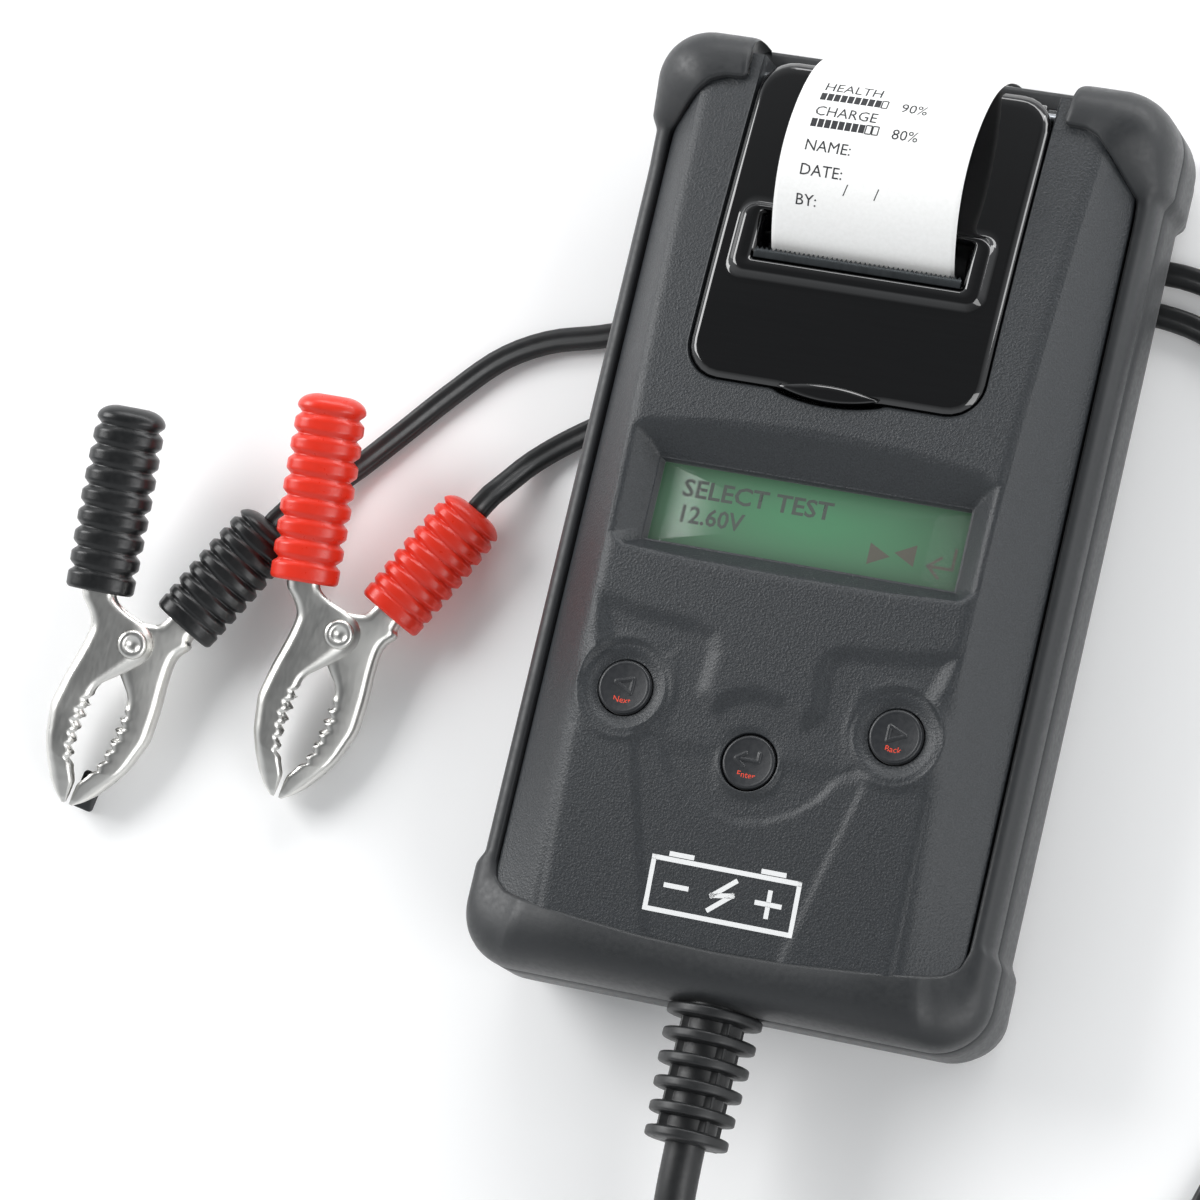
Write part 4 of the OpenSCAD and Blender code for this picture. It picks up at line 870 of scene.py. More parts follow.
def rounded_plate(half_x, half_y, z0, z1, r, mid, n=8, inset=0.15):
    """A plate with round corners and a small chamfer: outline rings from the bottom face up,
    closed by fans."""
    turn = np.linspace(0, np.pi / 2, n)
    corners = []
    for k, (sx, sy) in enumerate(((1, 1), (-1, 1), (-1, -1), (1, -1))):
        a = turn + k * np.pi / 2
        corners.append(np.stack([sx * (half_x - r) + r * np.cos(a),
            sy * (half_y - r) + r * np.sin(a)], 1))
    line = np.vstack(corners)
    shrink = (np.array([half_x, half_y]) - inset) / [half_x, half_y]
    rings = [(line * shrink * 0.5, z0), (line * shrink, z0), (line, z0 + inset),
        (line, z1 - inset), (line * shrink, z1), (line * shrink * 0.5, z1)]
    points = [np.column_stack([xy + [mid[0], mid[1]], np.full(len(xy), z)]) for xy, z in rings]
    count = len(line)
    faces = quads(len(rings), count, close_columns=True)
    ring = np.arange(count)
    low = np.stack([ring, np.full(count, 6 * count), (ring + 1) % count], 1)
    high = np.stack([5 * count + ring, 5 * count + (ring + 1) % count,
        np.full(count, 6 * count + 1)], 1)
    points.append([[mid[0], mid[1], z0], [mid[0], mid[1], z1]])
    return np.vstack(points) * MM, [faces, low, high]


cell = skin("display_cell", *rounded_plate(32.25, 8.2, 33.9, glass_top, 0.3, (0, lcd_mid)), lit_cell)
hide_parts("lcd_glass")
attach(cell, "tester")

# Acrylic, IOR 1.49: it passes light straight through, so that the cell keeps its colour.
clear_acrylic, tree, shader = finish_of("clear_acrylic_window", IOR=1.49, Roughness=0.03)
shader.inputs["Alpha"].default_value = 0.06
shader.inputs["Base Color"].default_value = linear("#dff0e4")
window = skin("display_window", *rounded_plate(33.4, 9.4, lens_top - 1.0, lens_top, 0.6,
    (0, lcd_mid)), clear_acrylic)
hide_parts("lcd_window")
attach(window, "tester")


def lettering(name, text, size, at, material, body, height_at, lift=0.03, bold=0.0, align="LEFT",
        wide=1.0):
    """Text as a flat mesh laid on a surface, its corner or middle at a point in millimetres."""
    font = bpy.data.curves.new(name, "FONT")
    font.body = text
    font.size = size
    font.offset = bold
    font.align_x = align
    font.resolution_u = 2
    holder = bpy.data.objects.new(name + "_curve", font)
    scene.collection.objects.link(holder)
    mesh = holder.evaluated_get(bpy.context.evaluated_depsgraph_get()).to_mesh()
    n = len(mesh.vertices)
    xy = np.zeros(n * 3)
    mesh.vertices.foreach_get("co", xy)
    xy = xy.reshape(-1, 3)[:, :2] * [wide, 1] + at
    mesh.calc_loop_triangles()
    tri = np.zeros(len(mesh.loop_triangles) * 3, np.int32)
    mesh.loop_triangles.foreach_get("vertices", tri)
    holder.evaluated_get(bpy.context.evaluated_depsgraph_get()).to_mesh_clear()
    bpy.data.objects.remove(holder)
    bpy.data.curves.remove(font)
    tri = tri.reshape(-1, 3)
    a, b, c = xy[tri[:, 0]], xy[tri[:, 1]], xy[tri[:, 2]]
    area = (b[:, 0] - a[:, 0]) * (c[:, 1] - a[:, 1]) - (b[:, 1] - a[:, 1]) * (c[:, 0] - a[:, 0])
    tri = np.where(area[:, None] < 0, tri[:, ::-1], tri)
    z = height_at(xy[:, 0], xy[:, 1]) + lift
    obj = skin(name, np.column_stack([xy, z]) * MM, tri, material, smooth=False)
    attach(obj, body)
    return obj


def level(z):
    """A flat surface at a height."""
    return lambda x, y: np.full(np.shape(x), float(z))


dark_segment, tree, shader = finish_of("dark_display_segments", Roughness=0.35)
shader.inputs["Base Color"].default_value = linear("#08120b")
lettering("display_line_1", "SELECT TEST", 5.0, (-27.4, 0.75), dark_segment, "tester",
    level(glass_top), bold=0.10, wide=1.10)
lettering("display_line_2", "12.60V", 4.9, (-27.4, -4.5), dark_segment, "tester",
    level(glass_top), bold=0.10, wide=1.0)
icon_segment, tree, shader = finish_of("brown_display_icons", Roughness=0.35)
shader.inputs["Base Color"].default_value = linear("#3a2415")
icon_points = np.array([[12.9, -2.2], [17.3, -4.4], [12.9, -6.6], [22.3, -1.2], [22.3, -5.6],
    [18.0, -3.4]])
pressed("display_arrows", (icon_points, np.array([[0, 2, 1], [3, 5, 4]])), level(glass_top), 0.03,
    icon_segment, "tester")
pressed("display_return", strokes([[[25.2, -4.9], [30.2, -4.9], [30.2, -0.9]],
    [[27.6, -2.9], [25.2, -4.9], [27.6, -6.9]]], 0.6), level(glass_top), 0.03, icon_segment,
    "tester")

# --- Keys --------------------------------------------------------------------------------------
# Silicone keys that stand in dished wells. Each has a raised arrow moulded into its slightly
# hollow top and a small word printed in orange under it.
key_silicone = rubber_of("black_key_silicone", "#222427", 0.38)
orange_ink, tree, shader = finish_of("orange_pad_print", Roughness=0.5)
shader.inputs["Base Color"].default_value = linear("#d8432c")
key_icons = {
    "left": [[[1.5, 1.9], [-1.9, 0.9], [1.5, -1.0], [1.5, 1.9]]],
    "right": [[[-1.5, 1.9], [1.9, 0.5], [-1.5, -1.0], [-1.5, 1.9]]],
    "enter": [[[-0.9, 1.7], [-2.7, 0.4], [-0.9, -0.9]], [[-2.7, 0.4], [1.9, 0.4], [1.9, 2.0]]],
}
key_words = {"left": "Next", "right": "Back", "enter": "Enter"}


def key_mesh(centre_at, top, icon):
    """Rings from the rim inwards: a wall, a rounded edge, a hollow top, and the icon's lines
    raised where a point of the top lies near them."""
    turn = np.linspace(0, 2 * np.pi, 96, endpoint=False)
    wall = [(key_r, top - 5.0), (key_r, top - 0.9), (key_r - 0.06, top - 0.42),
        (key_r - 0.26, top - 0.12), (key_r - 0.6, top - 0.02)]
    face_r = np.linspace(key_r - 0.85, 0.02, 44)
    radius = np.concatenate([[w[0] for w in wall], face_r])
    z = np.concatenate([[w[1] for w in wall], top - 0.02 - 0.34 * (1 - (face_r / key_r) ** 2)])
    x = radius[:, None] * np.cos(turn)
    y = radius[:, None] * np.sin(turn)
    near = np.full(x.shape, 9.0)
    for line in icon:
        for (ax, ay), (bx, by) in zip(line, line[1:]):
            ex, ey = bx - ax, by - ay
            t = np.clip(((x - ax) * ex + (y - ay) * ey) / (ex * ex + ey * ey), 0, 1)
            near = np.minimum(near, np.hypot(x - ax - t * ex, y - ay - t * ey))
    rise = 0.24 * smooth_step((0.42 - near) / 0.24)
    z = np.broadcast_to(z[:, None], x.shape) + rise * (radius[:, None] < key_r - 0.7)
    points = np.stack([x + centre_at[0], y + centre_at[1], z], -1)
    return points.reshape(-1, 3) * MM, quads(len(radius), 96, close_columns=True)


for side, (kx, ky, r) in zip(("left", "right", "enter"), well_at):
    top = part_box("key_" + side)[1][2] / MM
    cap = skin("key_cap_" + side, *key_mesh((kx, ky), top, key_icons[side]), key_silicone)
    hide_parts("key_" + side)
    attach(cap, side + "_key")
    lettering("key_word_" + side, key_words[side], 1.75, (kx, ky - 3.15), orange_ink,
        side + "_key", level(top - 0.30), lift=0.06, align="CENTER", bold=0.008)

# --- Printer lid ---------------------------------------------------------------------------------
# A polished black lid over the paper bay. It swings up on a pin at the top end and carries the
# platen roller. A collar stands round the paper slot, and a lens-shaped tab lifts the lid.
lid_half, lid_front, lid_back, lid_r, lid_rise = 30.5, 23.75, 91.25, 7.0, 1.0
slot_half, slot_low, slot_high = 21.5, 48.75, 58.75


def lid_height(x, y):
    """Height of the lid's top face: it follows the crown of the panel, one millimetre above."""
    return crown(y) + lid_rise + 0 * np.asarray(x, float)


def outline(half, low, high, r, n=7, tab=0.0, per_side=16):
    """Closed outline of a rectangle with round corners, anticlockwise from the middle of its
    low side. The low side may swell into a tab."""
    turn = np.linspace(0, np.pi / 2, n)
    pts = []
    t = np.linspace(0, 1, per_side)
    pts.append(np.stack([t * (half - r), np.full(per_side, low)], 1))
    pts.append(np.stack([half - r + r * np.sin(turn), low + r - r * np.cos(turn)], 1)[1:])
    pts.append(np.stack([np.full(per_side, half), low + r + t * (high - low - 2 * r)], 1)[1:])
    pts.append(np.stack([half - r + r * np.cos(turn), high - r + r * np.sin(turn)], 1)[1:])
    pts.append(np.stack([(1 - t) * (half - r), np.full(per_side, high)], 1)[1:])
    side = np.vstack(pts)
    side[:, 1] -= tab * smooth_step((11.4 - side[:, 0]) / 11.4) * (side[:, 1] < low + 0.01)
    return np.vstack([side, (side * [-1, 1])[-2:0:-1]])


def loft(rings, name, material, body, close_first=False, close_last=False):
    """A skin through closed rings of equal count, with a fan over the first or last."""
    n = len(rings[0])
    points = np.vstack(rings)
    faces = [quads(len(rings), n, close_columns=True)]
    ring = np.arange(n)
    extra = []
    if close_first:
        extra.append(rings[0].mean(0))
        faces.append(np.stack([(ring + 1) % n, ring, np.full(n, len(points) + len(extra) - 1)],
            1))
    if close_last:
        extra.append(rings[-1].mean(0))
        at = (len(rings) - 1) * n
        faces.append(np.stack([at + ring, at + (ring + 1) % n,
            np.full(n, len(points) + len(extra) - 1)], 1))
    if extra:
        points = np.vstack([points, extra])
    obj = skin(name, points * MM, faces, material)
    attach(obj, body)
    return obj


def lid_rings():
    """Outlines from the lid's lower edge up its side, over a bright bevel, across the plate,
    up the collar's sloping outside, over its flat frame, and down the slot's bevelled walls."""
    rings = []

    def put(half, low, high, r, drop, tab=0.0):
        line = outline(half, low, high, r, tab=tab)
        z = lid_height(line[:, 0], line[:, 1]) - drop
        rings.append(np.column_stack([line, z]))

    put(lid_half - 2.0, lid_front + 2.0, lid_back - 2.0, lid_r - 2, 3.2)
    put(lid_half - 0.1, lid_front + 0.1, lid_back - 0.1, lid_r, 3.4, 1.5)
    put(lid_half, lid_front, lid_back, lid_r, 3.2, 1.5)
    put(lid_half, lid_front, lid_back, lid_r, 1.15, 1.5)
    put(lid_half - 0.10, lid_front + 0.10, lid_back - 0.10, lid_r, 0.92, 1.5)
    put(lid_half - 1.15, lid_front + 1.15, lid_back - 1.15, lid_r - 1.15, 0.12, 1.4)
    put(lid_half - 1.5, lid_front + 1.5, lid_back - 1.5, lid_r - 1.5, 0.02, 1.3)
    collar = (26.5, 44.75, 60.25, 3.0)
    for t in np.linspace(0, 1, 22)[1:]:
        half = (lid_half - 1.6) * (1 - t) + (collar[0] + 0.5) * t
        low = (lid_front + 1.6) * (1 - t) + (collar[1] - 0.5) * t
        high = (lid_back - 1.6) * (1 - t) + (collar[2] + 0.5) * t
        put(half, low, high, 5.4 * (1 - t) + 3.4 * t, 0.0, 1.3 * (1 - t) ** 3)
    put(26.9, 44.35, 60.65, 3.3, -0.04)
    put(26.4, 44.85, 60.15, 3.0, -0.22)
    put(25.6, 45.75, 59.75, 2.6, -1.22)
    put(25.25, 46.1, 59.6, 2.4, -1.42)
    put(24.9, 46.4, 59.45, 2.2, -1.47)
    put(22.9, 47.9, 59.0, 1.2, -1.45)
    put(22.55, 48.2, 58.95, 1.0, -1.36)
    put(slot_half + 0.25, slot_low + 0.1, slot_high + 0.05, 0.7, -0.55)
    put(slot_half + 0.02, slot_low + 0.02, slot_high, 0.6, 0.2)
    put(slot_half, slot_low, slot_high - 0.02, 0.6, 2.4)
    put(slot_half + 1.0, slot_low - 0.8, slot_high + 0.8, 1.2, 2.9)
    put(lid_half - 3.0, lid_front + 3.0, lid_back - 3.0, 4.0, 3.0)
    rings.append(rings[0].copy())
    return rings


# Polished polycarbonate, IOR 1.585, smoked almost black, with faint wiping marks.
smoked, tree, shader = finish_of("polished_smoked_polycarbonate", IOR=1.585, Roughness=0.06)
where = add(tree, "ShaderNodeTexCoord").outputs["Object"]
stretch = add(tree, "ShaderNodeMapping", {"Vector": where, "Scale": (40, 900, 40)})
wipe = add(tree, "ShaderNodeTexNoise", {"Vector": stretch.outputs["Vector"], "Scale": 2.0,
    "Detail": 2.0})
gloss = add(tree, "ShaderNodeMapRange", {"Value": wipe.outputs["Fac"], "To Min": 0.03,
    "To Max": 0.10})
tree.links.new(gloss.outputs["Result"], shader.inputs["Roughness"])
shade = add(tree, "ShaderNodeValToRGB", {"Fac": wipe.outputs["Fac"]})
shade.color_ramp.elements[0].color = linear("#070708")
shade.color_ramp.elements[1].color = linear("#0c0c0d")
tree.links.new(shade.outputs["Color"], shader.inputs["Base Color"])
shader.inputs["Coat Weight"].default_value = 0.6
shader.inputs["Coat Roughness"].default_value = 0.02

lid_skin = loft(lid_rings(), "printer_lid_shell", smoked, "lid")
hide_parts("printer_lid")


def tab_rings():
    """A lens of two arcs, domed, that stands on the lid's front edge."""
    rings = []
    for k, (grow, z) in enumerate(((0.9, -1.6), (1.0, -0.2), (0.97, 0.10), (0.86, 0.30),
            (0.55, 0.42), (0.2, 0.46))):
        t = np.linspace(-1, 1, 25)
        front = np.stack([t * 10.6 * grow, 23.9 - 1.72 * grow * (1 - t**2)], 1)
        back = np.stack([t[::-1] * 10.6 * grow, 24.0 + 1.5 * grow * (1 - t**2)], 1)
        line = np.vstack([front, back[1:-1]])
        rings.append(np.column_stack([line, lid_height(line[:, 0], 24.0) + z]))
    return rings


loft(tab_rings(), "printer_lid_tab", smoked, "lid", close_first=True, close_last=True)

# Ears that hold the platen's shaft, and knuckles round the hinge pin, hang under the lid.
for side in (-1, 1):
    for label, mid, reach, at, foot in (("ear", 27.9, 0.9, 56.0, 31.0),
            ("knuckle", 26.0, 2.0, 88.0, 33.4)):
        rings = []
        for x in (-reach, -reach + 0.25, reach - 0.25, reach):
            inset = 0.0 if abs(x) < reach - 0.1 else 0.25
            line = outline(2.6 - inset, foot + inset, crown(at) - 0.9, 2.3, per_side=4)
            rings.append(np.column_stack([np.full(len(line), side * mid + x), at + line[:, 0],
                line[:, 1]]))
        loft(rings, "printer_lid_%s_%s" % (label, "right" if side > 0 else "left"), smoked, "lid",
            close_first=True, close_last=True)

# --- Tear bar -----------------------------------------------------------------------------------
# A strip of blackened spring steel across the front of the slot, its fine teeth against
# the paper.
def steel_of(name, code, roughness, grain_axis=(1, 1, 1)):
    """Bare or plated metal of a colour with fine drawing marks along one axis."""
    material, tree, shader = finish_of(name, Metallic=1.0, Roughness=roughness)
    where = add(tree, "ShaderNodeTexCoord").outputs["Object"]
    long_way = add(tree, "ShaderNodeMapping", {"Vector": where, "Scale": grain_axis})
    marks = add(tree, "ShaderNodeTexNoise", {"Vector": long_way.outputs["Vector"],
        "Scale": 1500.0, "Detail": 2.0})
    cloud = add(tree, "ShaderNodeTexNoise", {"Vector": where, "Scale": 110.0, "Detail": 2.0})
    both = add(tree, "ShaderNodeMath", {0: marks.outputs["Fac"], 1: cloud.outputs["Fac"]},
        operation="ADD")
    rough = add(tree, "ShaderNodeMapRange", {"Value": both.outputs[0], "From Max": 2.0,
        "To Min": roughness * 0.6, "To Max": roughness * 1.5})
    tree.links.new(rough.outputs["Result"], shader.inputs["Roughness"])
    base = np.array(linear(code))[:3]
    tone = add(tree, "ShaderNodeValToRGB", {"Fac": cloud.outputs["Fac"]})
    tone.color_ramp.elements[0].color = (*(base * 0.86), 1)
    tone.color_ramp.elements[1].color = (*np.minimum(base * 1.10, 1), 1)
    tree.links.new(tone.outputs["Color"], shader.inputs["Base Color"])
    bump = add(tree, "ShaderNodeBump", {"Height": marks.outputs["Fac"], "Strength": 0.06,
        "Distance": 0.0001})
    tree.links.new(bump.outputs["Normal"], shader.inputs["Normal"])
    return material


bar_steel = steel_of("blackened_spring_steel", "#3d4042", 0.40, (1, 0.05, 1))
teeth = 44
tooth_x = np.linspace(-slot_half + 0.05, slot_half - 0.05, teeth * 2 + 1)
tooth_y = np.where(np.arange(len(tooth_x)) % 2, 51.15, 50.45)
bar_low, bar_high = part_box("tear_bar")[0][2] / MM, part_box("tear_bar")[1][2] / MM


def bar_mesh():
    """Rows along the bar: back foot, back top, a flat out to the teeth, and back
    underneath. Every second column of the toothed rows stands forward."""
    rows = []
    for y, z, toothed in ((48.85, bar_low, 0), (48.85, bar_high - 0.05, 0),
            (49.0, bar_high, 0), (49.9, bar_high, 0), (0.0, bar_high - 0.06, 1),
            (0.0, bar_high - 0.22, 1), (49.9, bar_low, 0)):
        line_y = tooth_y if toothed else np.full(len(tooth_x), y)
        rows.append(np.column_stack([tooth_x, line_y, np.full(len(tooth_x), z)]))
    points = np.stack(rows)
    return points.reshape(-1, 3) * MM, quads(len(rows), len(tooth_x), close_rows=True)[:, ::-1]


bar = skin("tear_bar_strip", *bar_mesh(), bar_steel, smooth=False)
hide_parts("tear_bar")
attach(bar, "lid")

# --- Printed strip ---------------------------------------------------------------------------------
# Thermal paper, white and slightly glazed on its coated face. It stands out of the slot and
# curls back over the end.
curl_y, curl_z, curl_r, paper_half = 70.5, 25.0, 26.2, 19.0


def on_curl(x, s, lift=0.0):
    """Point of the strip at x across and s millimetres along it from the slot's lip, a lift
    above its outer face. The strip is a straight foot, then an arc of radius 26.2 mm."""
    first = np.radians(137.1)
    a = first - np.maximum(s, 0) / curl_r
    y = curl_y + (curl_r + lift) * np.cos(a)
    z = curl_z + (curl_r + lift) * np.sin(a)
    low = np.minimum(s, 0)
    return np.stack([x, np.where(s < 0, 51.3 - lift, y),
        np.where(s < 0, 42.83 + low, z)], -1)


strip_l = curl_r * np.radians(134.0)
strip_s = np.concatenate([np.linspace(-3.6, -0.4, 5), np.linspace(0, strip_l, 90)])
strip_x = np.linspace(-paper_half, paper_half, 40)


def strip_mesh():
    """The two faces of the paper, 0.12 mm apart, with a gentle wave along each edge."""
    gx, gs = np.meshgrid(strip_x, strip_s)
    wave = -0.12 * (np.abs(gx) / paper_half) ** 3 * (1 + np.sin(gs / 4.1))
    outer = on_curl(gx, gs, wave - 0.02)
    inner = on_curl(gx, gs, wave - 0.14)
    points = np.concatenate([outer.reshape(-1, 3), inner.reshape(-1, 3)])
    r, c = gx.shape
    face = quads(r, c)
    border = np.concatenate([np.arange(c), np.arange(1, r) * c + c - 1,
        (r - 1) * c + np.arange(c - 2, -1, -1), np.arange(r - 2, 0, -1) * c])
    turn = np.roll(border, -1)
    hem = np.stack([border, turn, turn + r * c, border + r * c], 1)
    return points * MM, [face, face[:, ::-1] + r * c, hem[:, ::-1]]


thermal, tree, shader = finish_of("thermal_paper", Roughness=0.62, IOR=1.45)
where = add(tree, "ShaderNodeTexCoord").outputs["Object"]
fibre = add(tree, "ShaderNodeTexNoise", {"Vector": where, "Scale": 1400.0, "Detail": 4.0})
tone = add(tree, "ShaderNodeValToRGB", {"Fac": fibre.outputs["Fac"]})
tone.color_ramp.elements[0].color = linear("#eeeeec")
tone.color_ramp.elements[1].color = linear("#fbfbfa")
tree.links.new(tone.outputs["Color"], shader.inputs["Base Color"])
bump = add(tree, "ShaderNodeBump", {"Height": fibre.outputs["Fac"], "Strength": 0.05,
    "Distance": 0.0001})
tree.links.new(bump.outputs["Normal"], shader.inputs["Normal"])
strip = skin("printed_strip", *strip_mesh(), thermal)
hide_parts("paper_strip")
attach(strip, "lid")
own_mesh(strip)

thermal_ink, tree, shader = finish_of("thermal_print", Roughness=0.6)
shader.inputs["Base Color"].default_value = linear("#232428")


def on_strip(name, flat):
    """A flat pattern, in x across and s along the strip, laid on its outer face."""
    xs, faces = flat
    xs = np.asarray(xs, float)
    wave = -0.12 * (np.abs(xs[:, 0]) / paper_half) ** 3 * (1 + np.sin(xs[:, 1] / 4.1))
    obj = skin(name, on_curl(xs[:, 0], xs[:, 1], wave + 0.012) * MM, faces, thermal_ink,
        smooth=False)
    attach(obj, "lid")
    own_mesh(obj)
    return obj


def print_line(name, text, size, at):
    """A line of printing on the strip, cut into short pieces so that it follows the curl."""
    made = lettering(name + "_flat", text, size, at, None, "lid", level(0), lift=0)
    mesh = made.data
    xy = np.zeros(len(mesh.vertices) * 3)
    mesh.vertices.foreach_get("co", xy)
    xy = xy.reshape(-1, 3)[:, :2] / MM
    tri = np.zeros(len(mesh.polygons) * 3, np.int32)
    mesh.polygons.foreach_get("vertices", tri)
    bpy.data.objects.remove(made)
    bpy.data.meshes.remove(mesh)
    return on_strip(name, (xy, tri.reshape(-1, 3)))


def gauge(full):
    """Ten cells in a row, some of them filled."""
    points, faces = [], []
    for k in range(10):
        x0 = -14.6 + k * 1.42
        ring = np.array([[x0, 0], [x0 + 1.18, 0], [x0 + 1.18, 1.9], [x0, 1.9]])
        if k < full:
            faces.append([[4 * len(points) + i for i in range(4)]])
            points.append(ring)
        else:
            for a, b in zip(ring, np.roll(ring, -1, 0)):
                side = 0.13 * np.array([-(b - a)[1], (b - a)[0]]) / np.linalg.norm(b - a)
                faces.append([[4 * len(points) + i for i in (0, 1, 2, 3)]])
                points.append(np.array([a - side, b - side, b + side, a + side]))
    return np.vstack(points), np.vstack(faces)


for label, text, s in (("by", "BY:", 10.6), ("slashes", "/      /", 13.6), ("date", "DATE:", 16.6),
        ("name", "NAME:", 21.6), ("charge_share", "80%", 26.4), ("charge", "CHARGE", 29.4),
        ("health_share", "90%", 33.0), ("health", "HEALTH", 36.0)):
    print_line("print_" + label, text, 3.3, ({"charge_share": 2.2, "health_share": 2.2,
        "slashes": -5.0}.get(label, -14.6), s))
for label, full, s in (("charge_gauge", 8, 26.7), ("health_gauge", 9, 33.3)):
    xs, faces = gauge(full)
    on_strip("print_" + label, (xs + [0, s], faces))

# --- Clamps ------------------------------------------------------------------------------------------
# Two spring clamps of pressed, nickel-plated steel. Each half is a folded channel: the long
# half is the wider and laps outside the short one at the rivet. The grips are dipped vinyl.
def turn_about(axis, degrees):
    """Rotation matrix about X, Y or Z (0, 1, 2)."""
    c, s = np.cos(np.radians(degrees)), np.sin(np.radians(degrees))
    m = np.eye(3)
    i, j = [(1, 2), (2, 0), (0, 1)][axis]
    m[i, i], m[i, j], m[j, i], m[j, j] = c, -s, s, c
    return m


clamps = {"black": (np.array([-145, -44.5, 11.1]), -12.5), "red": (np.array([-101.5, -34.5, 10.0]),
    -11.0)}


def lay(points, colour):
    """Points of a clamp's own frame (rivet at the origin, jaws towards -Y) where it lies, in
    metres."""
    at, turn = clamps[colour]
    m = turn_about(2, turn) @ turn_about(0, 7) @ turn_about(1, 22)
    return (np.asarray(points).reshape(-1, 3) @ m.T + at) * MM


jaw_keys = np.array([
    [0.00, -1.0, -36.0, -0.35, -35.9], [0.10, -3.2, -34.3, -0.3, -33.6],
    [0.20, -5.3, -32.0, -0.35, -31.2], [0.30, -7.6, -28.2, -1.5, -29.2],
    [0.38, -9.4, -24.4, -3.2, -26.2], [0.50, -11.1, -17.5, -4.4, -18.5],
    [0.62, -10.6, -10.6, -3.4, -10.6], [0.72, -9.9, -5.8, 1.0, -5.9],
    [0.78, -9.6, -3.0, 3.9, -2.5], [0.82, -9.5, -1.0, 4.6, 0.0],
    [0.86, -9.6, 0.6, 3.8, 3.0], [0.90, -10.3, 2.0, 1.2, 4.6], [0.94, -11.6, 3.5, -2.6, 4.9]])
nickel = steel_of("nickel_plated_steel", "#dcdbd7", 0.31, (1, 0.2, 1))
nickel.node_tree.nodes["Principled BSDF"].inputs["Coat Weight"].default_value = 0.25
halves = {"long": ((-10.5, 6.0), 12.0, 10.0, 40.0, 1), "short": ((-7.5, 6.0), 19.0, 7.6, 29.5, -1)}


def jaw_mesh(half):
    """A channel swept from the tip to the grip. The outer and inner edges follow the table,
    the folds are rounded, and the inner edges carry teeth between the tip and the waist."""
    base, lean, width, grip_l, mirror = halves[half]
    c, s = np.cos(np.radians(lean)), np.sin(np.radians(lean))
    b = np.array(base)
    far = []
    for t, on in ((1.0, 0.0), (1.06, 4.0)):
        mid = b + on * np.array([-s, c])
        far.append([t, *(mid - 3.4 * np.array([c, s])), *(mid + 3.4 * np.array([c, s]))])
    keys = np.vstack([jaw_keys, far])
    t = np.linspace(0, 1.06, 150)
    path = np.array([np.interp(t, keys[:, 0], keys[:, k]) for k in range(1, 5)])
    soft = np.ones(7) / 7
    path = np.array([np.convolve(np.pad(v, 3, mode="edge"), soft, "valid") for v in path])
    outer, inner = path[:2].T, path[2:].T
    bite = smooth_step((t - 0.30) / 0.05) * smooth_step((0.60 - t) / 0.05)
    wave = np.abs(((-inner[:, 1] / 2.6) % 1) * 2 - 1)
    inner[:, 0] += bite * (wave - 0.6) * 1.5
    half_w = width / 2 * np.interp(t, [0, 0.06, 0.2, 0.34], [0.52, 0.66, 0.84, 1.0])
    sheet = 1.0
    inward = inner - outer
    span = np.linalg.norm(inward, axis=1)
    inward /= span[:, None]
    fold = np.minimum(2.4, span * 0.45)
    arc = np.linspace(0, np.pi / 2, 6)
    ring = []
    for side in (1, -1):
        order = arc if side > 0 else arc[::-1]
        edge = [(span - 0.12, half_w), (span * 0.6 + fold * 0.4, half_w)]
        bend = [(fold * (1 - np.sin(a)), half_w - fold * (1 - np.cos(a))) for a in order]
        run = edge + bend if side > 0 else bend + edge[::-1]
        ring += [(depth, side * z) for depth, z in run]
    thin = []
    for depth, z in ring[::-1]:
        thin.append((np.maximum(depth, sheet * 0.9),
            np.sign(z) * np.maximum(np.abs(z) - sheet, 0.15)))
    thin = [(np.where(d >= span - 0.2, span - 0.12, d), z) for d, z in thin]
    rows = []
    for depth, z in ring + thin:
        xy = outer + inward * np.asarray(depth)[:, None]
        rows.append(np.column_stack([xy[:, 0] * mirror, xy[:, 1], z]))
    points = np.stack(rows, 1)
    n = len(rows)
    faces = quads(len(t), n, close_columns=True)
    k = np.arange(n // 2 - 1)
    cap = np.stack([k, k + 1, n - 2 - k, n - 1 - k], 1)
    last = (len(t) - 1) * n
    sets = [faces, cap[:, ::-1], cap + last]
    if mirror > 0:
        sets = [f[:, ::-1] for f in sets]
    return points.reshape(-1, 3), sets


